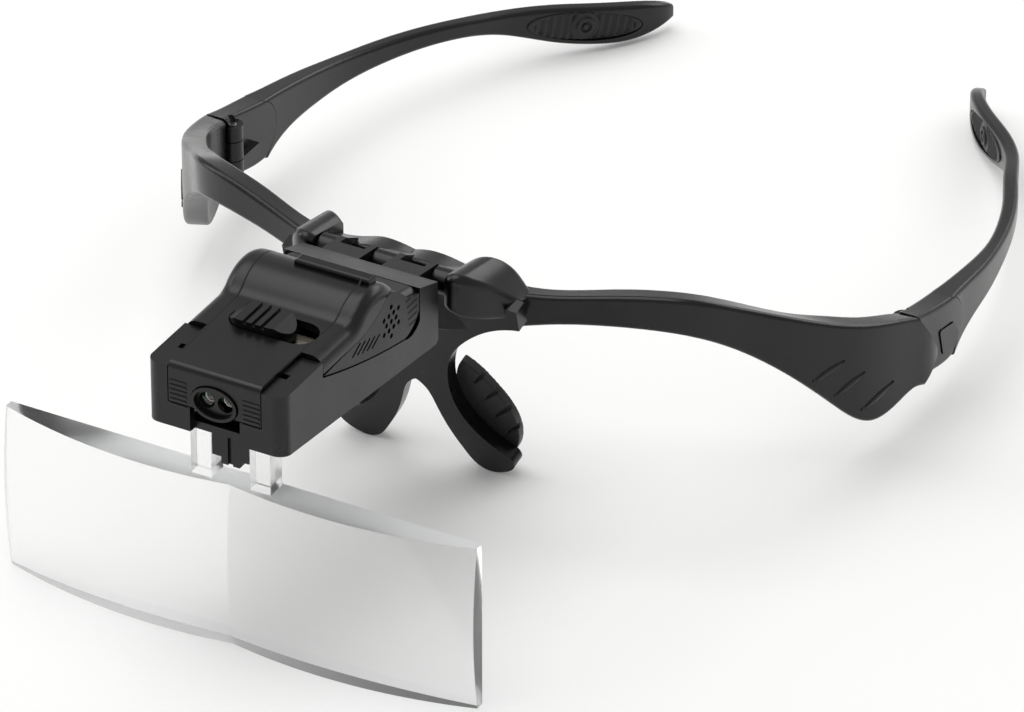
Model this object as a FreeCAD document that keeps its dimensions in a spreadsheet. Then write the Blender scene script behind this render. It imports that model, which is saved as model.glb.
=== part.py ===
import FreeCAD, Part
import math
import os
import Sketcher

# Lighted magnifier glasses, in millimetres.
# +Z is up, the wearer looks along -Y and +X is on the right of the picture.
# The glasses lie on the foot of the lens, the nose pads and the tips of the temples.

V = FreeCAD.Vector

SIZES = {
    # where the hinge corner of the brow and the rod of the lamp lie
    "hinge_half_width": 75.0,
    "hinge_behind": 6.4,
    "hinge_height": 25.4,
    "rod_ahead": 55.9,
    "rod_height": 48.2,
    "rod_radius": 1.3,
    "rod_half_length": 14.5,
    "pin_clearance": 0.05,
    "running_gap": 0.2,
    "seat_gap": 0.15,
    # knuckles and claws round the rod
    "knuckle_radius": 2.5,
    "knuckle_middle_half": 2.1,
    "claw_width": 7.6,
    "knuckle_side_width": 3.2,
    "claw_reach": 2.9,
    "claw_prong": 1.3,
    "claw_notch_ahead": 1.8,
    "lobe_start": 13.5,
    # lamp unit, measured from the rod
    "lamp_half_width": 13.8,
    "lamp_reach": 60.4,
    "lamp_rear_gap": 6.1,
    "shell_wall": 1.5,
    "floor_drop_front": 2.8,
    "floor_drop_rear": 8.9,
    "cheek_rise": 9.3,
    "cheek_length": 13.6,
    "cheek_width": 4.4,
    "front_lip_rise": 2.1,
    "latch_notch_half": 5.0,
    "top_rise": 10.2,
    "nose_round": 1.2,
    "split_rise": 6.3,
    "split_low_ahead": 18.0,
    "split_low_drop": 1.8,
    "split_bow": 180.0,
    "split_heel_ahead": 12.6,
    "split_heel_drop": 0.6,
    "split_heel_round": 4.5,
    "hump_ahead": 27.7,
    "hump_rise": 4.0,
    "hump_radius": 9.5,
    "hump_blend": 4.0,
    "bracket_rise": 6.0,
    "bracket_rear_rise": 3.8,
    "lip_left": 3.5,
    "lip_right": 11.5,
    "lip_ahead": 26.6,
    "lip_depth": 2.6,
    "lip_top_rise": 14.5,
    "lip_root_rise": 9.8,
    # leaf panels on the sides
    "leaf_depth": 1.1,
    "leaf_tip_rise": 7.0,
    "leaf_mid_ahead": 35.6,
    "leaf_crest_ahead": 25.0,
    "leaf_crest_rise": 10.1,
    "leaf_fall_ahead": 20.0,
    "leaf_fall_rise": 9.2,
    "leaf_tail_ahead": 16.2,
    "leaf_tail_rise": 6.0,
    "leaf_dot_radius": 0.5,
    "leaf_dot_pitch": 1.7,
    "leaf_dot_ahead": 22.8,
    "leaf_dot_rise": 4.7,
    # lamp window, lamps and board
    "led_radius": 1.5,
    "led_half_spacing": 1.85,
    "led_rise": 4.3,
    "led_length": 4.6,
    "bezel_half_width": 4.65,
    "bezel_half_height": 3.4,
    "bezel_rim": 0.7,
    "bezel_proud": 0.4,
    "bezel_depth": 1.6,
    "bezel_floor": 1.0,
    "board_half_width": 8.4,
    "board_height": 7.0,
    "board_thickness": 1.0,
    "resistor_radius": 0.8,
    "resistor_length": 4.0,
    # slide switch
    "slot_half_length": 8.6,
    "slot_half_width": 3.7,
    "slot_right": 1.0,
    "slot_ahead": 41.4,
    "slider_length": 12.4,
    "slider_rise": 1.6,
    "slider_groove": 0.7,
    "slider_groove_pitch": 1.8,
    "slider_flange_out": 0.9,
    "slider_flange_thickness": 0.6,
    "slider_stem": 1.8,
    "slider_stem_drop": 2.0,
    "switch_body_length": 13.0,
    "switch_body_width": 6.0,
    "switch_body_height": 5.0,
    # cells, contacts, hatch and screws
    "cell_radius": 5.8,
    "cell_thickness": 3.05,
    "cell_gap": 0.05,
    "cell_lift": 0.8,
    "contact_thickness": 0.4,
    "contact_width": 7.0,
    "contact_rise": 4.0,
    "spring_length": 1.6,
    "spring_root_radius": 2.6,
    "spring_tip_radius": 1.4,
    "door_half_width": 9.3,
    "door_ahead_front": 36.0,
    "door_ahead_rear": 15.0,
    "door_rib_half": 3.5,
    "screw_radius": 0.9,
    "screw_head_radius": 1.7,
    "screw_head_height": 0.9,
    "boss_radius": 2.0,
    "door_screw_ahead": 17.4,
    "shell_screw_ahead": 49.4,
    "shell_screw_half": 9.6,
    "shell_screw_length": 9.0,
    # lens and its fixing
    "lens_half_width": 47.5,
    "lens_height": 33.3,
    "lens_rear_ahead": 51.0,
    "lens_lobe_thickness": 7.7,
    "lens_lobe_offset": 17.5,
    "lens_lobe_radius": 102.0,
    "post_width": 4.1,
    "post_depth": 4.0,
    "post_front_ahead": 55.4,
    "post_top_drop": 0.7,
    "post_root": 0.6,
    "latch_half_width": 3.7,
    "latch_depth": 3.0,
    "latch_tip_drop": 11.2,
    "latch_step": 1.4,
    "latch_groove": 0.5,
    "latch_flange": 0.9,
    # brow arm, measured from the rod or from the hinge corner
    "brow_pitch": 20.0,
    "brow_end_height": 15.0,
    "brow_end_depth": 4.6,
    "corner_drop": 20.6,
    "corner_ahead": 11.6,
    "corner_inset": 3.1,
    "edge_round": 0.8,
    # hinge of the temple
    "pin_radius": 0.8,
    "pin_inset": 4.5,
    "pin_behind": 3.0,
    "barrel_radius": 2.0,
    "barrel_height": 4.0,
    "barrel_drop": 7.6,
    "chevron_reach": 7.7,
    "chevron_drop": 11.0,
    "chevron_foot": 2.4,
    "chevron_gap": 0.3,
    "block_length": 18.6,
    "plug_thickness": 1.6,
    "plug_height": 6.4,
    "plug_length": 10.0,
    "plug_gap": 0.12,
    "plug_inset": 3.9,
    "plug_drop": 11.6,
    "button_front": 8.6,
    "button_length": 8.0,
    "button_height": 6.8,
    "button_drop": 10.9,
    "button_thickness": 1.3,
    "button_proud": 0.25,
    "button_travel": 0.6,
    "button_spring_radius": 1.1,
    "button_spring_length": 0.25,
    # temple arm, ear pad
    "temple_length": 109.9,
    "temple_tip_inset": 40.0,
    "temple_thickness": 2.9,
    "ear_pad_length": 24.6,
    "ear_pad_share": 0.62,
    "ear_pad_height": 6.0,
    "ear_pad_drop": 0.45,
    "ear_pad_thickness": 1.0,
    "ear_pad_proud": 0.3,
    "ear_rib_pitch": 1.7,
    # nose legs and pads
    "leg_foot_ahead": 41.2,
    "leg_lean": 14.0,
    "leg_thickness": 3.0,
    "pad_clear": 0.3,
    "pad_thickness": 1.9,
    "pad_groove": 1.1,
    "pad_groove_depth": 0.8,
}

doc = FreeCAD.newDocument("magnifier_glasses")
sheet = doc.addObject("Spreadsheet::Sheet", "sizes")
for row, (alias, number) in enumerate(SIZES.items(), start=1):
    sheet.set("A%d" % row, alias)
    sheet.set("B%d" % row, str(number))
    sheet.setAlias("B%d" % row, alias)
doc.recompute()


class Size:
    """A length in millimetres, with the sheet formula that gives it."""

    def __init__(self, value, formula):
        self.value = value
        self.formula = formula

    def join(self, other, value, sign):
        return Size(value, "(%s %s %s)" % (self.formula, sign, other.formula))

    def __add__(self, other):
        other = as_size(other)
        return self.join(other, self.value + other.value, "+")

    def __radd__(self, other):
        return as_size(other) + self

    def __sub__(self, other):
        other = as_size(other)
        return self.join(other, self.value - other.value, "-")

    def __rsub__(self, other):
        return as_size(other) - self

    def __mul__(self, other):
        other = as_size(other)
        return self.join(other, self.value * other.value, "*")

    def __rmul__(self, other):
        return as_size(other) * self

    def __truediv__(self, other):
        other = as_size(other)
        return self.join(other, self.value / other.value, "/")

    def __neg__(self):
        return as_size(0) - self


def as_size(number):
    return number if isinstance(number, Size) else Size(float(number), repr(float(number)))


def size(alias):
    return Size(float(sheet.get(alias)), "sizes." + alias)


def number(alias):
    return float(sheet.get(alias))


nodes = []


def keep(piece, label):
    """The piece becomes a node of the object."""
    piece.Label = label
    nodes.append(piece)
    return piece


def bind_place(piece, corner):
    for axis, length in zip("xyz", corner):
        piece.setExpression("Placement.Base." + axis, as_size(length).formula)


def box(name, low, high):
    """A block between two corners."""
    piece = doc.addObject("Part::Box", name)
    for side, near, far in zip(("Length", "Width", "Height"), low, high):
        piece.setExpression(side, (as_size(far) - as_size(near)).formula)
    bind_place(piece, low)
    return piece


def cylinder(name, start, axis, radius, length):
    """A round bar from its start along an axis."""
    piece = doc.addObject("Part::Cylinder", name)
    piece.Placement = FreeCAD.Placement(V(0, 0, 0), FreeCAD.Rotation(V(0, 0, 1), axis))
    piece.setExpression("Radius", as_size(radius).formula)
    piece.setExpression("Height", as_size(length).formula)
    bind_place(piece, start)
    return piece


def fuse(name, pieces):
    piece = doc.addObject("Part::MultiFuse", name)
    piece.Shapes = pieces
    return piece


def cut(name, base, tools):
    piece = doc.addObject("Part::Cut", name)
    piece.Base = base
    piece.Tool = tools[0] if len(tools) == 1 else fuse(name + "_tools", tools)
    return piece


def common(name, first, second):
    piece = doc.addObject("Part::Common", name)
    piece.Base = first
    piece.Tool = second
    return piece


def shaped(name, shape):
    piece = doc.addObject("Part::Feature", name)
    piece.Shape = shape
    return piece


def new_body(name):
    body = doc.addObject("PartDesign::Body", name)
    body.Label = name
    return body


def arc_centre(start, end, radius, left):
    """Centre of the short arc between two points that bulges to the left or right of its chord."""
    middle = (start + end) * 0.5
    chord = end - start
    half = chord.Length / 2
    reach = math.sqrt(max(radius * radius - half * half, 0.0))
    normal = V(-chord.y, chord.x, 0).normalize()
    return middle - normal * reach if left else middle + normal * reach


def outline(body, name, role, corners, offset=0.0):
    """A closed sketch on one of the body's own planes.

    A corner is (across, up) and may hold a third value, the signed radius of the arc to the next
    corner: positive bulges to the left of the way round, negative to the right.
    """
    sketch = body.newObject("Sketcher::SketchObject", name)
    plane = next(p for p in body.Origin.OriginFeatures if p.Role == role)
    sketch.AttachmentSupport = [(plane, "")]
    sketch.MapMode = "FlatFace"
    sketch.setExpression("AttachmentOffset.Base.z", as_size(offset).formula)
    points = [V(as_size(c[0]).value, as_size(c[1]).value, 0) for c in corners]
    count = len(corners)
    ends = []
    radii = []
    for index, corner in enumerate(corners):
        start = points[index]
        end = points[(index + 1) % count]
        if len(corner) < 3:
            sketch.addGeometry(Part.LineSegment(start, end))
            ends.append((1, 2))
            continue
        bend = as_size(corner[2])
        left = bend.value > 0
        radius = abs(bend.value)
        centre = arc_centre(start, end, radius, left)
        first = math.atan2(start.y - centre.y, start.x - centre.x)
        last = math.atan2(end.y - centre.y, end.x - centre.x)
        if left:
            first, last = last, first
        while last <= first:
            last += 2 * math.pi
        circle = Part.Circle(centre, V(0, 0, 1), radius)
        sketch.addGeometry(Part.ArcOfCircle(circle, first, last))
        ends.append((2, 1) if left else (1, 2))
        radii.append((index, bend if left else -bend))
    for index in range(count):
        following = (index + 1) % count
        join = Sketcher.Constraint("Coincident", index, ends[index][1], following, ends[following][0])
        sketch.addConstraint(join)
    for index, corner in enumerate(corners):
        for kind, length in (("DistanceX", corner[0]), ("DistanceY", corner[1])):
            length = as_size(length)
            rule = Sketcher.Constraint(kind, -1, 1, index, ends[index][0], length.value)
            place = sketch.addConstraint(rule)
            sketch.setExpression("Constraints[%d]" % place, length.formula)
    for index, bend in radii:
        place = sketch.addConstraint(Sketcher.Constraint("Radius", index, bend.value))
        sketch.setExpression("Constraints[%d]" % place, bend.formula)
    return sketch


def pad(body, sketch, length, name):
    feature = body.newObject("PartDesign::Pad", name)
    feature.Profile = sketch
    feature.setExpression("Length", as_size(length).formula)
    return feature


def pocket(body, sketch, length, name):
    """Cuts along the sketch's own normal, and checks that it has cut something."""
    doc.recompute()
    before = body.Shape.Volume
    feature = body.newObject("PartDesign::Pocket", name)
    feature.Profile = sketch
    feature.Reversed = True
    feature.setExpression("Length", as_size(length).formula)
    doc.recompute()
    if body.Shape.Volume > before - 1e-6:
        raise RuntimeError("%s cuts nothing" % name)
    return feature


def round_edges(body, name, radius, chosen):
    """Rounds the edges of the body's shape that a test picks."""
    doc.recompute()
    base = body.Tip
    picked = [
        "Edge%d" % (index + 1)
        for index, edge in enumerate(base.Shape.Edges)
        if chosen(edge)
    ]
    if not picked:
        raise RuntimeError("%s finds no edge" % name)
    feature = body.newObject("PartDesign::Fillet", name)
    feature.Base = (base, picked)
    feature.setExpression("Radius", as_size(radius).formula)
    return feature


def lies_along(edge, axis):
    if len(edge.Vertexes) != 2:
        return False
    way = edge.Vertexes[1].Point - edge.Vertexes[0].Point
    return way.Length > 1e-6 and abs(way.normalize().dot(axis)) > 0.999


# Places that several pieces share
rod_y = -size("rod_ahead")
rod_z = size("rod_height")
half = size("lamp_half_width")
wall = size("shell_wall")
gap = size("running_gap")
seat = size("seat_gap")
front_y = rod_y - size("lamp_reach")
rear_y = rod_y - size("lamp_rear_gap")
floor_front = rod_z - size("floor_drop_front")
floor_rear = rod_z - size("floor_drop_rear")
top_z = rod_z + size("top_rise")
cheek_end = front_y + size("cheek_length")
nose_half = half - size("cheek_width")
split_front = rod_z + size("split_rise")
split_low_y = rod_y - size("split_low_ahead")
split_low_z = rod_z - size("split_low_drop")
heel_y = rod_y - size("split_heel_ahead")
heel_z = rod_z - size("split_heel_drop")
bracket_front = rod_z + size("bracket_rise")
bracket_rear = rod_z + size("bracket_rear_rise")


def floor_at(y):
    """Height of the lamp's sloping underside at a place along it."""
    return floor_front + (floor_rear - floor_front) * ((y - front_y) / (rear_y - front_y))


def build_hinge_rod():
    rod = cylinder(
        "hinge_rod_bar",
        (-size("rod_half_length"), rod_y, rod_z),
        V(1, 0, 0),
        size("rod_radius"),
        2 * size("rod_half_length"),
    )
    keep(rod, "hinge_rod")


def build_lamp_base():
    body = new_body("base_shell")
    side = [
        (front_y, floor_front),
        (front_y, rod_z + size("cheek_rise")),
        (cheek_end, rod_z + size("cheek_rise")),
        (cheek_end, split_front, -size("split_bow")),
        (split_low_y, split_low_z, -size("split_heel_round")),
        (heel_y, heel_z),
        (heel_y, bracket_front),
        (rear_y, bracket_rear),
        (rear_y, floor_rear),
    ]
    sketch = outline(body, "base_side", "YZ_Plane", side, -half)
    pad(body, sketch, 2 * half, "base_block")
    inner_front = cheek_end + wall
    inner_rear = heel_y - wall
    hollow = [
        (inner_front, floor_at(inner_front) + wall),
        (inner_front, top_z),
        (inner_rear, top_z),
        (inner_rear, floor_at(inner_rear) + wall),
    ]
    sketch = outline(body, "base_hollow", "YZ_Plane", hollow, wall - half)
    pocket(body, sketch, 2 * (half - wall), "base_room")
    between = [
        (front_y + wall, floor_at(front_y + wall) + wall),
        (front_y + wall, top_z),
        (inner_front + gap, top_z),
        (inner_front + gap, floor_at(inner_front + gap) + wall),
    ]
    sketch = outline(body, "cheek_space", "YZ_Plane", between, -nose_half)
    pocket(body, sketch, 2 * nose_half, "between_cheeks")
    lip = [
        (front_y - gap, rod_z + size("front_lip_rise")),
        (front_y - gap, top_z),
        (front_y + wall + gap, top_z),
        (front_y + wall + gap, rod_z + size("front_lip_rise")),
    ]
    sketch = outline(body, "lip_space", "YZ_Plane", lip, -nose_half)
    pocket(body, sketch, 2 * nose_half, "above_lip")
    notch = [
        (front_y - gap, floor_at(front_y) - wall),
        (front_y - gap, top_z),
        (front_y + wall + gap, top_z),
        (front_y + wall + gap, floor_at(front_y) - wall),
    ]
    notch_half = size("latch_notch_half")
    sketch = outline(body, "latch_space", "YZ_Plane", notch, -notch_half)
    pocket(body, sketch, 2 * notch_half, "latch_notch")
    post_out = size("latch_half_width") + gap + size("post_width") + seat
    post_y = rod_y - size("post_front_ahead")
    opening = [
        (-post_out, post_y - seat),
        (post_out, post_y - seat),
        (post_out, post_y + size("post_depth") + seat),
        (-post_out, post_y + size("post_depth") + seat),
    ]
    sketch = outline(body, "post_opening", "XY_Plane", opening, floor_rear - wall)
    pocket(body, sketch, floor_front - floor_rear + 3 * wall, "post_window")
    door_half = size("door_half_width") + gap
    hatch = [
        (-door_half, rod_y - size("door_ahead_front") - gap),
        (door_half, rod_y - size("door_ahead_front") - gap),
        (door_half, rod_y - size("door_ahead_rear") + gap),
        (-door_half, rod_y - size("door_ahead_rear") + gap),
    ]
    sketch = outline(body, "hatch_opening", "XY_Plane", hatch, floor_rear - wall)
    pocket(body, sketch, floor_front - floor_rear + 3 * wall, "hatch_window")
    latch_low = rod_z + size("cheek_rise") - 2 * wall
    for name, sign in (("left", -1), ("right", 1)):
        inner = sign * nose_half
        outer = sign * (nose_half + wall)
        low, high = (inner, outer) if sign > 0 else (outer, inner)
        window_y = front_y + size("cheek_length") / 2
        window = [
            (window_y - wall / 2, latch_low + wall),
            (window_y + wall / 2, latch_low + wall),
            (window_y + wall / 2, top_z),
            (window_y - wall / 2, top_z),
        ]
        sketch = outline(body, "latch_hole_" + name, "YZ_Plane", window, low)
        pocket(body, sketch, high - low, "cheek_window_" + name)
    up = V(0, 0, 1)
    across = V(1, 0, 0)
    round_edges(
        body,
        "cheek_corners",
        size("nose_round") * 2,
        lambda e: lies_along(e, up)
        and abs(abs(e.CenterOfMass.x) - half.value) < 0.01
        and abs(e.CenterOfMass.y - front_y.value) < 0.01,
    )
    round_edges(
        body,
        "rear_edges",
        size("nose_round"),
        lambda e: lies_along(e, across)
        and abs(e.CenterOfMass.y - rear_y.value) < 0.01
        and e.CenterOfMass.z < rod_z.value,
    )
    claws = []
    claw_left = size("knuckle_middle_half") + gap
    claw_right = claw_left + size("claw_width")
    reach = size("claw_reach")
    for name, low in (("left", -claw_right), ("right", claw_left)):
        high = low + size("claw_width")
        prong = new_body("claw_" + name)
        side = [
            (rear_y - wall / 2, rod_z - reach),
            (rear_y - wall / 2, bracket_rear),
            (rear_y, bracket_rear),
            (rod_y + reach * 0.25, rod_z + reach * 0.93),
            (rod_y + reach * 0.87, rod_z + reach * 0.3),
            (rod_y + reach * 0.75, rod_z - reach * 0.55),
            (rod_y, rod_z - reach * 0.9),
        ]
        sketch = outline(prong, "claw_side_" + name, "YZ_Plane", side, low)
        pad(prong, sketch, size("claw_width"), "claw_solid_" + name)
        bore = cylinder(
            "claw_bore_" + name,
            (low - wall, rod_y, rod_z),
            V(1, 0, 0),
            size("rod_radius") + pin_room,
            size("claw_width") + 2 * wall,
        )
        notch = box(
            "claw_notch_" + name,
            (low + size("claw_prong"), rod_y - size("claw_notch_ahead"), rod_z - 2 * reach),
            (high - size("claw_prong"), rod_y + 2 * reach, rod_z + 2 * reach),
        )
        claws.append(cut("claw_cut_" + name, prong, [bore, notch]))
    whole = fuse("base_with_claws", [body] + claws)
    holes = []
    for name, sign in (("left", -1), ("right", 1)):
        holes.append(
            cylinder(
                "shell_screw_hole_" + name,
                (sign * size("shell_screw_half"), shell_screw_y, floor_rear - wall),
                V(0, 0, 1),
                size("screw_radius") + pin_room,
                floor_front - floor_rear + 3 * wall,
            )
        )
        holes.append(
            cylinder(
                "shell_screw_sink_" + name,
                (sign * size("shell_screw_half"), shell_screw_y, floor_rear - wall),
                V(0, 0, 1),
                size("screw_head_radius") + pin_room,
                shell_screw_seat - floor_rear + wall + pin_room,
            )
        )
    keep(cut("base_drilled", whole, holes), "lamp_base")


pin_room = size("pin_clearance")
shell_screw_y = rod_y - size("shell_screw_ahead") + size("cheek_width") * 2
shell_screw_seat = floor_at(shell_screw_y) + size("screw_head_height")


def shell_side():
    """Side view of the upper shell, above its parting line."""
    hump_y = rod_y - size("hump_ahead")
    hump_z = rod_z + size("hump_rise")
    radius = size("hump_radius").value
    blend = size("hump_blend").value
    rise = top_z.value + blend - hump_z.value
    lead = math.sqrt((radius + blend) ** 2 - rise ** 2)
    share = radius / (radius + blend)
    toe = number("nose_round")
    fall = math.sqrt(radius ** 2 - (bracket_front.value + toe - hump_z.value) ** 2)
    return {
        "blend_start": (hump_y.value - lead, top_z.value),
        "blend_end": (hump_y.value - lead * share, hump_z.value + rise * share),
        "hump_end": (hump_y.value + fall, bracket_front.value + toe),
        "crown": (hump_y.value, hump_z.value + radius),
        "centre": (hump_y.value, hump_z.value),
    }


def arc_edge(start, through, end):
    return Part.Arc(V(0, *start), V(0, *through), V(0, *end)).toShape()


def line_edge(start, end):
    return Part.LineSegment(V(0, *start), V(0, *end)).toShape()


def bulge_point(start, end, radius, down):
    """The middle of a shallow arc between two points."""
    first = V(start[0], start[1], 0)
    last = V(end[0], end[1], 0)
    chord = last - first
    depth = radius - math.sqrt(radius ** 2 - chord.Length ** 2 / 4)
    normal = V(-chord.y, chord.x, 0).normalize()
    if (normal.y > 0) == down:
        normal = -normal
    middle = (first + last) * 0.5 + normal * depth
    return (middle.x, middle.y)


def top_shell_wires(inset):
    """Closed side view of the upper shell, drawn in by the wall for its hollow."""
    place = shell_side()
    side_gap = gap.value
    radius = number("hump_radius") - inset
    centre = place["centre"]
    ceiling = top_z.value - inset
    blend = number("hump_blend") + inset
    rise = ceiling + blend - centre[1]
    lead = math.sqrt((radius + blend) ** 2 - rise ** 2)
    share = radius / (radius + blend)
    start = (centre[0] - lead, ceiling)
    end = (centre[0] - lead * share, centre[1] + rise * share)
    blend_middle = (
        start[0] + blend * math.sin(0.5 * math.atan2(lead, rise)),
        start[1] + blend * (1 - math.cos(0.5 * math.atan2(lead, rise))),
    )
    tail_z = bracket_front.value - inset
    fall = math.sqrt(radius ** 2 - (tail_z + number("nose_round") - centre[1]) ** 2)
    hump_end = (centre[0] + fall, tail_z + number("nose_round"))
    tail_y = heel_y.value - side_gap - inset
    crown = (centre[0], centre[1] + radius)
    rear = (tail_y, tail_z)
    floor_z = split_low_z.value + side_gap
    front = cheek_end.value + side_gap + (inset if inset else 0)
    low_front = (front, split_front.value + side_gap)
    low = (split_low_y.value, floor_z)
    heel = (tail_y, heel_z.value + side_gap + number("split_heel_round") / 2)
    if inset:
        low_front = (front, floor_z - inset)
        low = (tail_y, floor_z - inset)
        return Part.Wire(
            [
                line_edge(low_front, (front, ceiling)),
                line_edge((front, ceiling), start),
                arc_edge(start, blend_middle, end),
                arc_edge(end, crown, hump_end),
                line_edge(hump_end, rear),
                line_edge(rear, low),
                line_edge(low, low_front),
            ]
        )
    bow = bulge_point(low_front, low, number("split_bow"), True)
    round_middle = bulge_point(low, heel, number("split_heel_round") * 1.4, True)
    turn = number("nose_round")
    nose_y = front_y.value
    chin = rod_z.value + number("front_lip_rise") + side_gap
    turn_middle = (nose_y + turn * 0.293, ceiling - turn * 0.293)
    return Part.Wire(
        [
            line_edge(low_front, (front, chin)),
            line_edge((front, chin), (nose_y, chin)),
            line_edge((nose_y, chin), (nose_y, ceiling - turn)),
            arc_edge((nose_y, ceiling - turn), turn_middle, (nose_y + turn, ceiling)),
            line_edge((nose_y + turn, ceiling), start),
            arc_edge(start, blend_middle, end),
            arc_edge(end, crown, hump_end),
            line_edge(hump_end, rear),
            line_edge(rear, heel),
            arc_edge(heel, round_middle, low),
            arc_edge(low, bow, low_front),
        ]
    )


def extruded(wire, start, length):
    face = Part.Face(wire)
    face.translate(V(start, 0, 0))
    return face.extrude(V(length, 0, 0))


def block_between(low, high):
    return Part.makeBox(
        high[0] - low[0], high[1] - low[1], high[2] - low[2], V(*low)
    )


def build_top_shell():
    width = half.value
    skin = wall.value
    side_gap = gap.value
    outer = extruded(top_shell_wires(0), -width, 2 * width)
    nose_front = front_y.value
    beside = [
        block_between(
            (low, nose_front - skin, split_low_z.value),
            (low + width, cheek_end.value + side_gap, top_z.value + skin),
        )
        for low in (nose_half.value - side_gap, side_gap - nose_half.value - width)
    ]
    outer = outer.cut(beside)
    along = [
        e
        for e in outer.Edges
        if abs(abs(e.CenterOfMass.x) - width) < 0.01
        and e.CenterOfMass.z > bracket_front.value - 0.01
        and e.BoundBox.XLength < 0.01
        and e.BoundBox.YLength > 1.0
        and e.CenterOfMass.y > cheek_end.value
    ]
    outer = outer.makeFillet(number("nose_round") * 2, along)
    lip_front = rod_y.value - number("lip_ahead")
    lip = block_between(
        (-number("lip_left"), lip_front, rod_z.value + number("lip_root_rise")),
        (
            number("lip_right"),
            lip_front + number("lip_depth"),
            rod_z.value + number("lip_top_rise"),
        ),
    )
    lip_edges = [e for e in lip.Edges if e.CenterOfMass.z > rod_z.value + number("lip_top_rise") - 0.01]
    lip = lip.makeFillet(number("nose_round") / 2, lip_edges)
    shell = outer.fuse([lip])
    hollow = extruded(top_shell_wires(skin), skin - width, 2 * (width - skin))
    nose_room = block_between(
        (-nose_half.value + side_gap + skin, nose_front + skin, rod_z.value - 2 * skin),
        (nose_half.value - side_gap - skin, cheek_end.value + 3 * skin, top_z.value - skin),
    )
    bosses = []
    bores = []
    for x, y, seat_z in boss_places():
        ceiling = top_z.value if x else bracket_front.value
        side = number("boss_radius")
        bosses.append(
            block_between((x - side, y - side, seat_z), (x + side, y + side, ceiling - skin / 2))
        )
        bores.append(
            Part.makeCylinder(
                number("screw_radius") + pin_room.value,
                number("shell_screw_length") + skin,
                V(x, y, seat_z - skin),
            )
        )
    posts = [boss.cut(bores) for boss in bosses]
    shell = shell.cut([hollow.cut(posts), nose_room.cut(posts)])
    window = bezel_hole(side_gap / 2)
    shell = shell.cut([window, slot_hole(0.0)])
    for sign in (-1, 1):
        recess = leaf_solid(sign, 0.0)
        shell = shell.cut(recess)
    keep(shaped("top_shell", shell), "lamp_top_shell")


def boss_places():
    """Centres of the screw bosses and the height of their feet."""
    y = shell_screw_y.value
    foot = floor_at(shell_screw_y).value + wall.value + gap.value
    door_y = rod_y.value - number("door_screw_ahead")
    door_foot = floor_at(as_size(door_y)).value + wall.value + gap.value
    across = number("shell_screw_half")
    return [(-across, y, foot), (across, y, foot), (0.0, door_y, door_foot)]


def bezel_hole(room):
    """The oval opening of the front face."""
    return oval_bar(
        number("bezel_half_width") + room,
        number("bezel_half_height") + room,
        front_y.value - wall.value,
        front_y.value + 2 * wall.value,
    )


def oval_bar(half_width, half_height, near, far):
    """A bar along Y with an oval section at the height of the lamps."""
    centre = V(0, near, rod_z.value + number("led_rise"))
    if half_width >= half_height:
        ellipse = Part.Ellipse(centre + V(half_width, 0, 0), centre + V(0, 0, half_height), centre)
    else:
        ellipse = Part.Ellipse(centre + V(0, 0, half_height), centre + V(half_width, 0, 0), centre)
    face = Part.Face(Part.Wire([ellipse.toShape()]))
    return face.extrude(V(0, far - near, 0))


def slot_hole(room):
    """The slot that the slider runs in."""
    half_length = number("slot_half_length") - room
    half_width = number("slot_half_width") - room
    middle_x = number("slot_right")
    middle_y = rod_y.value - number("slot_ahead")
    straight = half_length - half_width
    low = top_z.value - 2 * wall.value
    bar = Part.makeBox(
        2 * straight, 2 * half_width, 3 * wall.value, V(middle_x - straight, middle_y - half_width, low)
    )
    ends = [
        Part.makeCylinder(half_width, 3 * wall.value, V(middle_x + sign * straight, middle_y, low))
        for sign in (-1, 1)
    ]
    return bar.fuse(ends)


def leaf_solid(sign, room):
    """The leaf-shaped panel on one side, or with room 0 the recess that takes it."""
    tip = (cheek_end.value + gap.value + room, rod_z.value + number("leaf_tip_rise") - room / 2)
    middle = (rod_y.value - number("leaf_mid_ahead"), rod_z.value + number("leaf_tip_rise") - room)
    crest = (rod_y.value - number("leaf_crest_ahead"), rod_z.value + number("leaf_crest_rise") - room)
    fall = (rod_y.value - number("leaf_fall_ahead"), rod_z.value + number("leaf_fall_rise") - room)
    tail = (rod_y.value - number("leaf_tail_ahead"), rod_z.value + number("leaf_tail_rise") - room)
    rear = (heel_y.value - gap.value - room, tail[1] - wall.value / 2)
    low = split_low_z.value - wall.value if not room else split_low_z.value + gap.value + room
    if not room:
        edges = [
            line_edge(tip, middle),
            arc_edge(middle, bulge_point(middle, crest, 16.0, True), crest),
            arc_edge(crest, bulge_point(crest, fall, number("hump_blend"), False), fall),
            line_edge(fall, tail),
            line_edge(tail, rear),
            line_edge(rear, (rear[0], low)),
            line_edge((rear[0], low), (tip[0], low)),
            line_edge((tip[0], low), tip),
        ]
    else:
        heel = (rear[0], heel_z.value + gap.value + number("split_heel_round") / 2)
        foot = (split_low_y.value, low)
        toe = (tip[0] + 2 * room, split_front.value + gap.value)
        edges = [
            line_edge(toe, middle),
            arc_edge(middle, bulge_point(middle, crest, 16.0, True), crest),
            arc_edge(crest, bulge_point(crest, fall, number("hump_blend"), False), fall),
            line_edge(fall, tail),
            line_edge(tail, rear),
            line_edge(rear, heel),
            arc_edge(heel, bulge_point(heel, foot, number("split_heel_round") * 1.4, True), foot),
            arc_edge(foot, bulge_point(foot, toe, number("split_bow"), True), toe),
        ]
    depth = number("leaf_depth") - room
    start = half.value - depth - room if sign > 0 else room - half.value - wall.value * (room == 0)
    length = depth + room if not room else depth
    if not room:
        start = half.value - number("leaf_depth") if sign > 0 else -half.value - wall.value
        length = number("leaf_depth") + wall.value
    else:
        start = half.value - number("leaf_depth") + room if sign > 0 else -half.value
        length = number("leaf_depth") - room
    return extruded(Part.Wire(edges), start, length)


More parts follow.
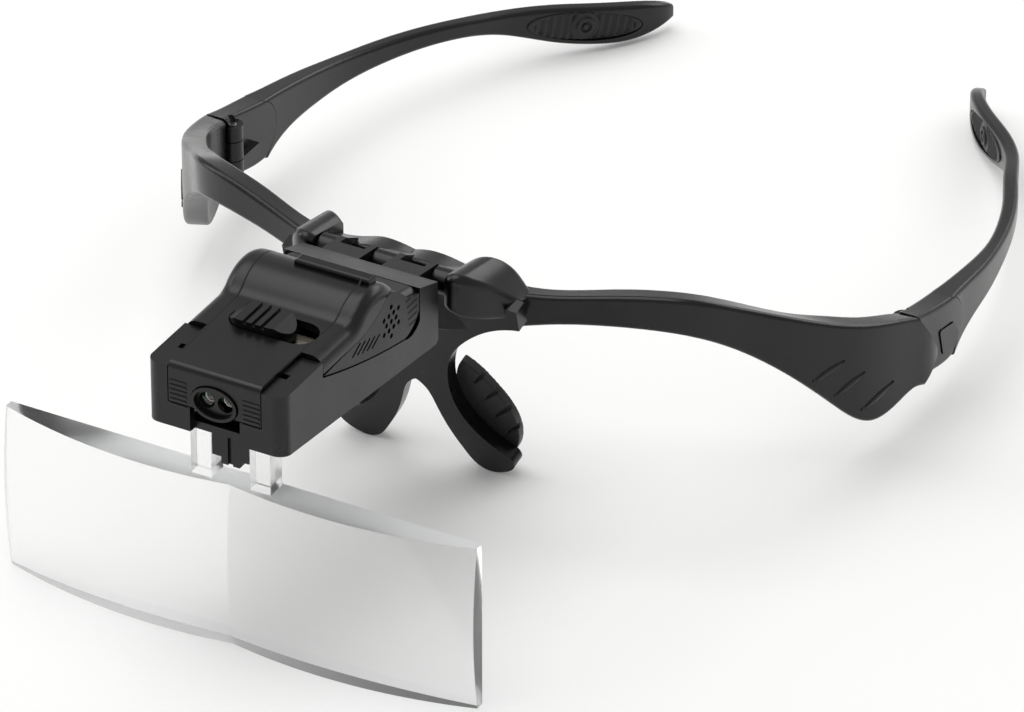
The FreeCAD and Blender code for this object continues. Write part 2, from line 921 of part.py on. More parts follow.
def build_side_grilles():
    """Leaf panels with a field of dots and two rows of slanted slots."""
    pitch = number("leaf_dot_pitch")
    dot_y = rod_y.value - number("leaf_dot_ahead")
    dot_z = rod_z.value + number("leaf_dot_rise")
    depth = number("leaf_depth")
    for name, sign in (("left", -1), ("right", 1)):
        panel = leaf_solid(sign, gap.value / 2)
        start = sign * (half.value - depth) if sign > 0 else -half.value - wall.value
        holes = []
        reach = 1.9 * pitch
        for row in range(-2, 3):
            for column in range(-2, 3):
                y = column * pitch + (row % 2) * pitch / 2
                z = row * pitch * 0.87
                if math.hypot(y, z) > reach:
                    continue
                holes.append(
                    Part.makeCylinder(
                        number("leaf_dot_radius"),
                        depth + wall.value,
                        V(start, dot_y + y, dot_z + z),
                        V(1, 0, 0),
                    )
                )
        for step in range(5):
            slot_y = dot_y - 3.0 * pitch - step * pitch
            slot_z = dot_z - 1.2 * pitch + step * pitch * 0.28
            slot = Part.makeBox(depth + wall.value, pitch * 1.9, number("leaf_dot_radius"))
            slot.rotate(V(0, 0, 0), V(1, 0, 0), 28)
            slot.translate(V(start, slot_y - pitch, slot_z))
            holes.append(slot)
        panel = panel.cut(holes)
        keep(shaped("grille_" + name, panel), "side_grille_" + name)


def build_bezel_and_lamps():
    near = front_y.value - number("bezel_proud")
    far = front_y.value + number("bezel_depth")
    room = gap.value / 2
    outer = oval_bar(number("bezel_half_width") - room, number("bezel_half_height") - room, near, far)
    rim = number("bezel_rim")
    inner = oval_bar(
        number("bezel_half_width") - rim, number("bezel_half_height") - rim, near - rim, far - number("bezel_floor")
    )
    ring = outer.cut(inner)
    spacing = number("led_half_spacing")
    height = rod_z.value + number("led_rise")
    holes = [
        Part.makeCylinder(
            number("led_radius") + pin_room.value, 4 * rim + far - near, V(sign * spacing, near - rim, height), V(0, 1, 0)
        )
        for sign in (-1, 1)
    ]
    keep(shaped("bezel_ring", ring.cut(holes)), "led_bezel")
    board_y = front_y + wall + size("led_length")
    for name, sign in (("left", -1), ("right", 1)):
        dome = Part.makeSphere(number("led_radius"))
        dome.translate(V(sign * spacing, board_y.value - number("led_length") + number("led_radius"), height))
        stem = Part.makeCylinder(
            number("led_radius"),
            number("led_length") - number("led_radius") - pin_room.value,
            V(sign * spacing, board_y.value - number("led_length") + number("led_radius"), height),
            V(0, 1, 0),
        )
        keep(shaped("lamp_" + name, dome.fuse(stem).removeSplitter()), "led_" + name)
    board = box(
        "board_plate",
        (-size("board_half_width") + wall, board_y, rod_z + size("led_rise") - size("board_height") / 2),
        (
            size("board_half_width") - wall,
            board_y + size("board_thickness"),
            rod_z + size("led_rise") + size("board_height") / 2,
        ),
    )
    keep(board, "led_board")
    resistor = cylinder(
        "resistor_bar",
        (
            -size("resistor_length") / 2,
            board_y + size("board_thickness") + size("resistor_radius") + pin_room,
            rod_z + size("led_rise") + size("resistor_radius"),
        ),
        V(1, 0, 0),
        size("resistor_radius"),
        size("resistor_length"),
    )
    keep(resistor, "current_resistor")


def build_switch():
    middle_y = rod_y - size("slot_ahead")
    start_x = size("slot_right") - size("slot_half_length") + gap
    end_x = start_x + size("slider_length")
    half_width = size("slot_half_width") - gap
    body = new_body("slider_cap")
    low = top_z - wall - gap
    crown = top_z + size("slider_rise")
    ramp = size("slider_rise") * 1.4
    side = [
        (start_x, low),
        (end_x, low),
        (end_x, top_z),
        (end_x - ramp, crown),
        (start_x + ramp, crown),
        (start_x, top_z),
    ]
    sketch = outline(body, "slider_side", "XZ_Plane", side, -(middle_y + half_width))
    pad(body, sketch, 2 * half_width, "slider_block")
    groove = size("slider_groove")
    middle_x = (start_x + end_x) / 2
    for index in (-1, 0, 1):
        left = middle_x + index * size("slider_groove_pitch") - groove / 2
        notch = [
            (left, crown - groove),
            (left + groove, crown - groove),
            (left + groove, crown + groove),
            (left, crown + groove),
        ]
        sketch = outline(
            body, "slider_notch_%d" % (index + 2), "XZ_Plane", notch, -(middle_y + half_width)
        )
        pocket(body, sketch, 2 * half_width, "slider_groove_%d" % (index + 2))
    round_ends = [
        Part.makeCylinder(half_width.value, (crown - low).value, V(x.value, middle_y.value, low.value))
        for x in (start_x + half_width, end_x - half_width)
    ]
    straight = block_between(
        ((start_x + half_width).value, (middle_y - half_width).value, low.value),
        ((end_x - half_width).value, (middle_y + half_width).value, crown.value),
    )
    cap = common("slider_rounded", body, shaped("slider_round_ends", straight.fuse(round_ends)))
    out = size("slider_flange_out")
    flange = box(
        "slider_flange",
        (start_x, middle_y - half_width - out, low - size("slider_flange_thickness")),
        (end_x - 2 * size("slot_right"), middle_y + half_width + out, low),
    )
    stem = size("slider_stem")
    peg = box(
        "slider_peg",
        (
            middle_x - stem / 2,
            middle_y - stem / 2,
            low - size("slider_flange_thickness") - size("slider_stem_drop"),
        ),
        (middle_x + stem / 2, middle_y + stem / 2, low),
    )
    keep(fuse("slider_whole", [cap, flange, peg]), "switch_slider")
    travel = 2 * (size("slot_half_length") - gap) - size("slider_length")
    can_top = low - size("slider_flange_thickness") - gap
    can_middle = middle_x + travel / 2
    can = box(
        "switch_can",
        (
            can_middle - size("switch_body_length") / 2,
            middle_y - size("switch_body_width") / 2,
            can_top - size("switch_body_height"),
        ),
        (can_middle + size("switch_body_length") / 2, middle_y + size("switch_body_width") / 2, can_top),
    )
    track = box(
        "switch_track",
        (
            middle_x - stem / 2 - gap,
            middle_y - stem / 2 - gap,
            can_top - size("slider_stem_drop") - gap,
        ),
        (middle_x + stem / 2 + travel + gap, middle_y + stem / 2 + gap, can_top + gap),
    )
    keep(cut("switch_can_open", can, [track]), "switch_body")


def build_cells():
    middle_y = rod_y - size("hump_ahead")
    middle_z = floor_at(middle_y) + wall + size("cell_lift") + size("cell_radius")
    step = size("cell_thickness") + size("cell_gap")
    start = -(3 * size("cell_thickness") + 2 * size("cell_gap")) / 2
    cells = [
        cylinder(
            "cell_%d" % (index + 1),
            (start + index * step, middle_y, middle_z),
            V(1, 0, 0),
            size("cell_radius"),
            size("cell_thickness"),
        )
        for index in range(3)
    ]
    stack = doc.addObject("Part::Compound", "cell_stack")
    stack.Links = cells
    keep(stack, "button_cells")
    end_x = -start + pin_room
    low = floor_at(middle_y - size("contact_width") / 2) + wall + pin_room
    plate = box(
        "plus_plate",
        (end_x, middle_y - size("contact_width") / 2, low),
        (
            end_x + size("contact_thickness"),
            middle_y + size("contact_width") / 2,
            middle_z + size("contact_rise"),
        ),
    )
    keep(plate, "contact_plate")
    back = start - pin_room - size("spring_length")
    minus = box(
        "minus_plate",
        (back - size("contact_thickness"), middle_y - size("contact_width") / 2, low),
        (back, middle_y + size("contact_width") / 2, middle_z + size("contact_rise")),
    )
    cone = doc.addObject("Part::Cone", "minus_cone")
    cone.Placement = FreeCAD.Placement(V(0, 0, 0), FreeCAD.Rotation(V(0, 0, 1), V(1, 0, 0)))
    cone.setExpression("Radius1", size("spring_root_radius").formula)
    cone.setExpression("Radius2", size("spring_tip_radius").formula)
    cone.setExpression("Height", size("spring_length").formula)
    bind_place(cone, (back, middle_y, middle_z))
    keep(fuse("minus_contact", [minus, cone]), "contact_spring")


def build_door():
    body = new_body("door_plate")
    near = rod_y - size("door_ahead_front")
    far = rod_y - size("door_ahead_rear")
    side = [
        (near, floor_at(near)),
        (near, floor_at(near) + wall),
        (far, floor_at(far) + wall),
        (far, floor_at(far)),
    ]
    sketch = outline(body, "door_side", "YZ_Plane", side, -size("door_half_width"))
    pad(body, sketch, 2 * size("door_half_width"), "door_slab")
    middle_y = rod_y - size("hump_ahead")
    ribs = [
        box(
            "door_rib_%d" % (index + 1),
            (x - wall / 2, middle_y - wall, floor_at(middle_y) + wall / 2),
            (x + wall / 2, middle_y + wall, floor_at(middle_y) + wall + size("cell_lift") - gap),
        )
        for index, x in enumerate((-size("door_rib_half"), size("door_rib_half")))
    ]
    whole = fuse("door_with_ribs", [body] + ribs)
    screw_y = rod_y - size("door_screw_ahead")
    hole = cylinder(
        "door_hole",
        (0, screw_y, floor_at(screw_y) - wall),
        V(0, 0, 1),
        size("screw_radius") + pin_room,
        4 * wall,
    )
    sink = cylinder(
        "door_sink",
        (0, screw_y, floor_at(screw_y) - wall),
        V(0, 0, 1),
        size("screw_head_radius") + pin_room,
        wall + size("screw_head_height") + pin_room,
    )
    keep(cut("door_drilled", whole, [hole, sink]), "battery_door")


def screw(name, x, y, foot):
    """A small pan-head screw that points up, with a cross in its head."""
    head_height = number("screw_head_height")
    head = Part.makeCylinder(number("screw_head_radius"), head_height, V(x, y, foot))
    shank = Part.makeCylinder(number("screw_radius"), number("shell_screw_length"), V(x, y, foot))
    arm = number("screw_head_radius")
    cross = [
        block_between((x - arm / 2, y - arm / 8, foot - arm), (x + arm / 2, y + arm / 8, foot + head_height / 2)),
        block_between((x - arm / 8, y - arm / 2, foot - arm), (x + arm / 8, y + arm / 2, foot + head_height / 2)),
    ]
    return head.fuse(shank).removeSplitter().cut(cross)


def build_screws():
    foot = floor_at(shell_screw_y).value
    across = number("shell_screw_half")
    pair = [screw("pair", sign * across, shell_screw_y.value, foot) for sign in (-1, 1)]
    keep(shaped("screw_pair", Part.makeCompound(pair)), "shell_screws")
    door_y = rod_y - size("door_screw_ahead")
    keep(shaped("hatch_screw", screw("hatch", 0.0, door_y.value, floor_at(door_y).value)), "door_screw")


def build_lens():
    back_y = rod_y - size("lens_rear_ahead")
    peak_y = back_y - size("lens_lobe_thickness")
    slab = box(
        "lens_slab",
        (-size("lens_half_width"), peak_y - wall, 0),
        (size("lens_half_width"), back_y, size("lens_height")),
    )
    lobes = []
    for name, sign in (("left", -1), ("right", 1)):
        ball = doc.addObject("Part::Sphere", "lens_lobe_" + name)
        ball.setExpression("Radius", size("lens_lobe_radius").formula)
        bind_place(
            ball,
            (sign * size("lens_lobe_offset"), peak_y + size("lens_lobe_radius"), size("lens_height") / 2),
        )
        lobes.append(ball)
    block = common("lens_block", slab, fuse("lens_lobes", lobes))
    post_y = rod_y - size("post_front_ahead")
    inner = size("latch_half_width") + gap
    posts = [
        box(
            "lens_post_" + name,
            (low, post_y, size("lens_height") - size("post_root")),
            (
                low + size("post_width"),
                post_y + size("post_depth"),
                rod_z - size("post_top_drop"),
            ),
        )
        for name, low in (("left", -inner - size("post_width")), ("right", inner))
    ]
    keep(fuse("lens_with_posts", [block] + posts), "magnifier_lens")


def build_latch():
    body = new_body("latch_tongue")
    post_y = rod_y - size("post_front_ahead")
    width = size("latch_half_width")
    tip = rod_z - size("latch_tip_drop")
    step = size("latch_step")
    top = floor_at(front_y) + 2 * wall
    face = [
        (-width, tip + step),
        (-width / 2, tip + step),
        (-width / 2, tip),
        (width / 2, tip),
        (width / 2, tip + step),
        (width, tip + step),
        (width, top),
        (-width, top),
    ]
    sketch = outline(body, "latch_face", "XZ_Plane", face, -(post_y + size("latch_depth")))
    pad(body, sketch, size("latch_depth"), "latch_block")
    groove = size("latch_groove")
    line = [
        (-groove, tip - step),
        (groove, tip - step),
        (groove, top - wall),
        (-groove, top - wall),
    ]
    sketch = outline(body, "latch_line", "XZ_Plane", line, -(post_y + groove))
    pocket(body, sketch, 2 * groove, "latch_front_groove")
    flange = box(
        "latch_head",
        (-width, post_y - size("latch_flange"), floor_at(front_y) + wall + gap),
        (width, post_y + size("post_depth") + size("latch_flange"), top),
    )
    keep(fuse("latch_whole", [body, flange]), "lens_latch")


class Section:
    """A slice of an arm: its front top edge, the way to the back and the way down."""

    def __init__(self, edge, back, down):
        self.edge = V(*edge)
        self.back = V(*back).normalize()
        down = V(*down)
        self.down = (down - self.back * down.dot(self.back)).normalize()

    def at(self, behind, below):
        return self.edge + self.back * behind + self.down * below

    def wire(self, depth, height, radius, crown=0.0):
        """A rounded four-sided outline; the crown lowers its back top edge."""
        corners = [(0, 0), (depth, crown), (depth, height), (0, height)]
        return rounded_wire([self.at(*corner) for corner in corners], radius)


def rounded_wire(corners, radius):
    """A closed outline through corners, each turned with an arc."""
    count = len(corners)
    edges = []
    turns = []
    for index, corner in enumerate(corners):
        before = (corners[index - 1] - corner).normalize()
        after = (corners[(index + 1) % count] - corner).normalize()
        half_angle = before.getAngle(after) / 2
        reach = radius / math.tan(half_angle)
        middle = (before + after).normalize() * (radius / math.sin(half_angle) - radius)
        turns.append((corner + before * reach, corner + middle, corner + after * reach))
    for index, turn in enumerate(turns):
        following = turns[(index + 1) % count]
        edges.append(Part.Arc(*turn).toShape())
        edges.append(Part.LineSegment(turn[2], following[0]).toShape())
    return Part.Wire(edges)


def turned(degrees):
    """Unit way along an arm that leaves the X axis by an angle, seen from above."""
    angle = math.radians(degrees)
    return V(math.cos(angle), math.sin(angle), 0)


def brow_sections():
    """Slices of the right brow arm from the middle of the face to its hinge end."""
    pitch = math.radians(number("brow_pitch"))
    rod = V(0, rod_y.value, rod_z.value)
    corner = V(number("hinge_half_width"), number("hinge_behind"), number("hinge_height"))
    end_depth = number("brow_end_depth")
    end_height = number("brow_end_height")
    stations = [
        # edge of the slice, heading, lean of its face, depth, height
        (rod + V(0, 4.2, -1.2), 0, pitch, 6.5, 12.5),
        (rod + V(11, 5.0, -1.8), 8, pitch, 6.5, 12.0),
        (rod + V(19, 8.2, -4.4), 14, pitch, 5.6, 8.2),
        (rod + V(27, 11.5, -5.0), 18, pitch, 4.8, 6.3),
        (rod + V(38, 15.2, -3.8), 21, pitch, 5.0, 6.6),
        (corner + V(-23.5, -41.3, 18.9), 34, pitch, 5.0, 7.6),
        (corner + V(-17.2, -33.8, 15.0), 47, pitch * 0.9, 5.0, 8.6),
        (corner + V(-11.2, -26.2, 10.8), 55, pitch * 0.6, 4.9, 11.6),
        (corner + V(-6.6, -19.0, 6.9), 62, pitch * 0.2, 4.8, 16.6),
        (
            corner + V(-number("corner_inset"), -number("corner_ahead"), 3.9),
            68,
            0,
            end_depth,
            number("corner_drop"),
        ),
        (corner + V(-1.1, -4.6, 1.6), 80, 0, end_depth, end_height + 2.6),
        (corner, 90, 0, end_depth, end_height),
        (corner + V(0, number("chevron_reach") + 1.0, -2.2), 90, 0, end_depth, end_height - 2.0),
    ]
    wires = []
    for edge, heading, lean, depth, height in stations:
        way = turned(heading)
        back = V(-way.y, way.x, 0)
        down = V(0, -math.sin(lean), -math.cos(lean))
        section = Section(edge, back, down)
        crown = 1.2 if heading < 60 else 0.2
        wires.append(section.wire(depth, height, number("edge_round"), crown))
    return wires


def chevron_prism(gap_width, reach_back):
    """Everything behind the arrow-shaped parting between brow and hinge block."""
    corner = V(number("hinge_half_width"), number("hinge_behind"), number("hinge_height"))
    high = corner.z + 20
    low = corner.z - 40
    tip_z = corner.z - number("chevron_drop")
    foot_z = corner.z - number("brow_end_height")
    points = [
        (corner.y + gap_width, high),
        (corner.y + gap_width, corner.z),
        (corner.y + number("chevron_reach") + gap_width, tip_z),
        (corner.y + number("chevron_foot") + gap_width, foot_z),
        (corner.y + number("chevron_foot") + gap_width, low),
        (corner.y + reach_back, low),
        (corner.y + reach_back, high),
    ]
    return Part.Face(Part.makePolygon([V(corner.x - 15, *p) for p in points + points[:1]])).extrude(
        V(30, 0, 0)
    )


def pin_axis():
    return V(
        number("hinge_half_width") - number("pin_inset"),
        number("hinge_behind") + number("pin_behind"),
        0,
    )


def barrel_levels():
    """Heights of the frame's barrel and of the block's two barrels."""
    middle = number("hinge_height") - number("barrel_drop")
    height = number("barrel_height")
    room = gap.value
    return {
        "frame": (middle - height / 2, middle + height / 2),
        "upper": (middle + height / 2 + room, middle + height * 1.3),
        "lower": (middle - height * 1.3, middle - height / 2 - room),
    }


def upright(radius, level):
    axis = pin_axis()
    return Part.makeCylinder(radius, level[1] - level[0], V(axis.x, axis.y, level[0]))


def leg_point(across, height, behind=0.0):
    """A point on the leaning front plane of the nose legs, or behind it."""
    lean = math.radians(number("leg_lean"))
    ahead = number("leg_foot_ahead")
    front = V(across, -ahead - height * math.tan(lean), height)
    return front + V(0, math.cos(lean), math.sin(lean)) * behind


def curve(points):
    """A smooth edge through points."""
    spline = Part.BSplineCurve()
    spline.interpolate(points)
    return spline.toShape()


def nose_leg():
    """The right nose leg with its half of the bridge, cut from one leaning plate."""
    outer = [(24.0, 38.6), (18.2, 36.6), (12.2, 32.0), (8.7, 27.5), (7.1, 22.5), (7.2, 16.6)]
    outer += [(9.2, 11.6), (13.0, 7.6), (17.6, 4.9)]
    toe = [(17.6, 4.9), (18.2, 3.2), (16.2, 1.1), (12.6, 0.15)]
    inner = [(12.6, 0.15), (10.1, 1.1), (8.1, 3.6), (5.6, 7.9), (3.6, 12.9), (1.9, 17.0), (0.0, 18.6)]
    outer = [leg_point(*p) for p in outer]
    toe = [leg_point(*p) for p in toe]
    inner = [leg_point(*p) for p in inner]
    crown = leg_point(0.0, 45.0)
    shoulder = leg_point(24.0, 43.0)
    edges = [
        curve(outer),
        curve(toe),
        curve(inner),
        Part.LineSegment(inner[-1], crown).toShape(),
        Part.LineSegment(crown, shoulder).toShape(),
        Part.LineSegment(shoulder, outer[0]).toShape(),
    ]
    backwards = leg_point(0, 0, 1.0) - leg_point(0, 0, 0)
    plate = Part.Face(Part.Wire(edges)).extrude(backwards * number("leg_thickness"))
    return plate


def lobe():
    """The swelling that runs from the outer knuckle into the brow."""
    start = number("lobe_start")
    rod = V(0, rod_y.value, rod_z.value)
    stations = [
        # distance along, front, back, low, high
        (start, -3.3, 8.0, -3.6, 3.4),
        (start + 2.0, -3.8, 9.0, -4.2, 4.1),
        (start + 4.2, -2.4, 10.5, -5.2, 3.2),
        (start + 6.6, 1.2, 12.2, -6.6, 0.2),
        (start + 9.5, 6.6, 13.2, -8.6, -4.4),
    ]
    wires = []
    for x, near, far, low, high in stations:
        corners = [V(x, near, low), V(x, near, high), V(x, far, high - 2.4), V(x, far, low)]
        wires.append(rounded_wire([rod + c for c in corners], 1.4))
    return Part.makeLoft(wires, True, False)


def knuckle(low, high):
    """A hinge barrel with its web back to the bridge."""
    radius = number("knuckle_radius")
    rod = V(low, rod_y.value, rod_z.value)
    barrel = Part.makeCylinder(radius, high - low, rod, V(1, 0, 0))
    web = [
        V(low, rod.y, rod.z + radius),
        V(low, rod.y + 7.5, rod.z - 1.4),
        V(low, rod.y + 5.0, rod.z - 8.0),
        V(low, rod.y, rod.z - radius),
    ]
    plate = Part.Face(Part.makePolygon(web + web[:1])).extrude(V(high - low, 0, 0))
    return barrel.fuse(plate)


def build_front_frame():
    arm = Part.makeLoft(brow_sections(), True, False)
    right = arm.fuse([nose_leg(), lobe()])
    room = gap.value
    right = right.cut(chevron_prism(0.0, 40.0))
    levels = barrel_levels()
    axis = pin_axis()
    barrel_radius = number("barrel_radius")
    web = block_between(
        (axis.x, axis.y - barrel_radius, levels["frame"][0]),
        (axis.x + barrel_radius, axis.y + barrel_radius / 2, levels["frame"][1]),
    )
    relief = [
        upright(barrel_radius + room, (levels["upper"][0] - room, number("hinge_height") + room)),
        upright(barrel_radius + room, (0, levels["lower"][1] + room)),
    ]
    right = right.cut(relief).fuse([upright(barrel_radius, levels["frame"]), web])
    right = right.cut(upright(number("pin_radius") + pin_room.value, (0, number("hinge_height") + room)))
    left = right.mirror(V(0, 0, 0), V(1, 0, 0))
    middle = number("knuckle_middle_half")
    side_low = middle + 2 * room + number("claw_width")
    side_high = side_low + number("knuckle_side_width")
    knuckles = [
        knuckle(-middle, middle),
        knuckle(side_low, side_high),
        knuckle(-side_high, -side_low),
    ]
    frame = right.fuse([left] + knuckles)
    relief = [
        Part.makeCylinder(
            number("claw_reach") + room,
            side_low - middle,
            V(low, rod_y.value, rod_z.value),
            V(1, 0, 0),
        )
        for low in (middle, -side_low)
    ]
    bore = Part.makeCylinder(
        number("rod_radius") + pin_room.value / 2,
        2 * (number("rod_half_length") + room),
        V(-number("rod_half_length") - room, rod_y.value, rod_z.value),
        V(1, 0, 0),
    )
    frame = frame.cut(relief + [bore])
    keep(shaped("brow_and_bridge", frame), "front_frame")


def build_nose_pads():
    """A D-shaped ribbed pad behind and outside each nose leg."""
    near = number("leg_thickness") + number("pad_clear")
    back_edge = [(8.2, 22.9), (10.9, 21.3), (13.6, 18.5), (15.9, 15.5), (17.6, 11.9), (18.0, 7.7), (16.6, 3.4)]
    front_edge = [(16.6, 3.4), (13.6, 3.2), (9.6, 6.4), (7.2, 11.5), (6.4, 17.6), (8.2, 22.9)]
    edges = [curve([leg_point(*p, near) for p in back_edge]), curve([leg_point(*p, near) for p in front_edge])]
    backwards = leg_point(0, 0, 1.0) - leg_point(0, 0, 0)
    right = Part.Face(Part.Wire(edges)).extrude(backwards * number("pad_thickness"))
    groove = number("pad_groove")
    depth = number("pad_groove_depth")
    slots = []
    for outer, inner in (
        ((12.3, 20.6), (9.2, 17.0)),
        ((14.9, 17.6), (10.2, 13.0)),
        ((16.9, 14.3), (11.3, 8.6)),
        ((18.6, 10.6), (13.1, 5.0)),
    ):
        start = leg_point(*inner, near - depth)
        end = leg_point(*outer, near - depth)
        way = (end - start).normalize()
        side = way.cross(backwards).normalize()
        corners = [start, end + side * (groove / 2) + way, end - side * (groove / 2) + way, start]
        slots.append(Part.Face(Part.makePolygon(corners)).extrude(backwards * (2 * depth)))
    right = right.cut(slots)
    keep(shaped("pad_right", right), "nose_pad_right")
    keep(shaped("pad_left", right.mirror(V(0, 0, 0), V(1, 0, 0))), "nose_pad_left")


def temple_sections():
    """Slices of the right temple from the brow end to the tip: outer top edge, heading, depth, height."""
    corner = V(number("hinge_half_width"), number("hinge_behind"), number("hinge_height"))
    length = number("temple_length")
    inset = number("temple_tip_inset")
    thick = number("temple_thickness")
    tip = V(corner.x - inset, corner.y + length, 0)
    end_height = number("brow_end_height")
    return [
        (corner + V(0, -2.0, 0.7), 90, number("brow_end_depth"), end_height + 0.6),
        (corner + V(0, 8.0, -2.0), 90, number("brow_end_depth"), end_height - 1.6),
        (corner + V(-0.2, 17.0, -3.8), 91, number("brow_end_depth"), end_height - 2.8),
        (corner + V(-0.9, 24.0, -4.9), 94, 4.0, 9.2),
        (corner + V(-1.9, 33.0, -6.4), 97, 3.5, 7.2),
        (corner + V(-3.6, 42.0, -7.8), 102, thick, 5.7),
        (corner + V(-6.2, 52.0, -9.0), 108, thick, 4.5),
        (corner + V(-10.0, 62.0, -10.0), 114, thick, 3.8),
        (corner + V(-14.6, 71.6, -11.2), 118, thick, 3.6),
        (tip + V(21.0, -29.0, 12.5), 126, thick, 4.8),
        (tip + V(14.6, -20.4, 11.2), 132, thick, 7.6),
        (tip + V(8.6, -14.0, 10.0), 136, thick, 8.3),
        (tip + V(3.8, -8.0, 8.7), 134, thick * 0.95, 7.7),
        (tip + V(0.7, -2.6, 6.9), 120, thick * 0.85, 4.9),
        (tip + V(0, 0, 5.4), 104, thick * 0.7, 2.9),
    ]


def side_loft(first, last):
    """A stretch of the temple's outline as one solid."""
    wires = []
    for edge, heading, depth, height in temple_sections()[first:last]:
        way = turned(heading)
        section = Section(edge, (-way.y, way.x, 0), (0, 0, -1))
        radius = min(number("edge_round"), height * 0.3, depth * 0.3)
        wires.append(section.wire(depth, height, radius))
    return Part.makeLoft(wires, True, False)


def line_behind(gap_width):
    """Everything behind the curved parting between hinge block and temple."""
    corner = V(number("hinge_half_width"), number("hinge_behind"), number("hinge_height"))
    back = corner.y + number("block_length") + gap_width
    high = corner.z + 20
    start = V(corner.x - 15, back - 4.4, corner.z - 3.4)
    belly = V(corner.x - 15, back, corner.z - 10.2)
    foot = V(corner.x - 15, back - 3.2, corner.z - 15.3)
    edges = [
        Part.Arc(start, belly, foot).toShape(),
        Part.LineSegment(foot, V(start.x, foot.y, -20)).toShape(),
        Part.LineSegment(V(start.x, foot.y, -20), V(start.x, back + 120, -20)).toShape(),
        Part.LineSegment(V(start.x, back + 120, -20), V(start.x, back + 120, high)).toShape(),
        Part.LineSegment(V(start.x, back + 120, high), V(start.x, start.y, high)).toShape(),
        Part.LineSegment(V(start.x, start.y, high), start).toShape(),
    ]
    wide = number("hinge_half_width")
    prism = Part.Face(Part.Wire(edges)).extrude(V(wide + 20, 0, 0))
    prism.translate(V(15 - wide, 0, 0))
    return prism


def plug_box(room, lead):
    """The tongue of the temple in its socket; room widens it all round for the socket."""
    corner = V(number("hinge_half_width"), number("hinge_behind"), number("hinge_height"))
    back = corner.y + number("block_length") + 3.0
    front = back - 3.0 - number("plug_length")
    inner = corner.x - number("plug_inset")
    middle = corner.z - number("plug_drop")
    tall = number("plug_height") / 2
    return block_between(
        (inner - room, front - lead, middle - tall - room),
        (inner + number("plug_thickness") + room, back, middle + tall + room),
    )


def button_prism(room, inner, outer):
    """The D-shaped release button seen from the side, between two distances from the outer face."""
    corner = V(number("hinge_half_width"), number("hinge_behind"), number("hinge_height"))
    front = corner.y + number("button_front") - room
    back = front + number("button_length") + 2 * room
    tall = number("button_height") / 2 + room
    middle = corner.z - number("button_drop")
    slope = number("button_height") * 0.16
    points = [
        V(0, front, middle + tall),
        V(0, back - 2.4, middle + tall - slope),
        V(0, back, middle - tall * 0.3),
        V(0, back - 1.2, middle - tall),
        V(0, front + 1.6, middle - tall + slope),
    ]
    start = corner.x - inner
    wire = rounded_wire(points, 0.5 + room)
    return extruded(wire, start, inner + outer)


def build_temple_side():
    room = gap.value
    levels = barrel_levels()
    barrel_radius = number("barrel_radius")
    block = side_loft(0, 5).common(chevron_prism(number("chevron_gap"), 60.0))
    block = block.cut(line_behind(0.0))
    block = block.cut(upright(barrel_radius + room, (levels["frame"][0] - room, levels["frame"][1] + room)))
    barrels = [upright(barrel_radius, levels["upper"]), upright(barrel_radius, levels["lower"])]
    axis = pin_axis()
    corner_y = number("hinge_behind") + number("chevron_reach") + number("chevron_gap") + room
    for high_x, low_y in ((axis.x - room, axis.y), (axis.x + number("pin_radius"), corner_y)):
        barrels.append(
            block_between(
                (axis.x - barrel_radius * 0.8, low_y, levels["lower"][0]),
                (high_x, corner_y + barrel_radius, levels["lower"][1]),
            )
        )
    block = block.fuse(barrels)
    block = block.cut(
        upright(number("pin_radius") + pin_room.value, (0, number("hinge_height") + room))
    )
    block = block.cut([plug_box(number("plug_gap"), room), button_prism(seat.value, number("button_thickness") + number("button_travel") + 2 * room, 3.0)])
    keep(shaped("block_right", block), "hinge_block_right")
    keep(shaped("block_left", block.mirror(V(0, 0, 0), V(1, 0, 0))), "hinge_block_left")
    pin_low = levels["lower"][0]
    pin_high = levels["upper"][1]
    pin = Part.makeCylinder(number("pin_radius"), pin_high - pin_low, V(axis.x, axis.y, pin_low))
    keep(shaped("pin_right", pin), "fold_pin_right")
    keep(shaped("pin_left", pin.mirror(V(0, 0, 0), V(1, 0, 0))), "fold_pin_left")
    button = button_prism(0.0, number("button_thickness"), number("button_proud"))
    keep(shaped("button_right", button), "release_button_right")
    keep(shaped("button_left", button.mirror(V(0, 0, 0), V(1, 0, 0))), "release_button_left")
    arm = side_loft(1, 15).common(line_behind(seat.value))
    arm = arm.fuse(plug_box(0.0, 0.0)).removeSplitter()
    recess, inlay = ear_pad_shapes()
    arm = arm.cut(recess)
    keep(shaped("arm_right", arm), "temple_arm_right")
    keep(shaped("arm_left", arm.mirror(V(0, 0, 0), V(1, 0, 0))), "temple_arm_left")
    keep(shaped("inlay_right", inlay), "ear_pad_right")
    keep(shaped("inlay_left", inlay.mirror(V(0, 0, 0), V(1, 0, 0))), "ear_pad_left")


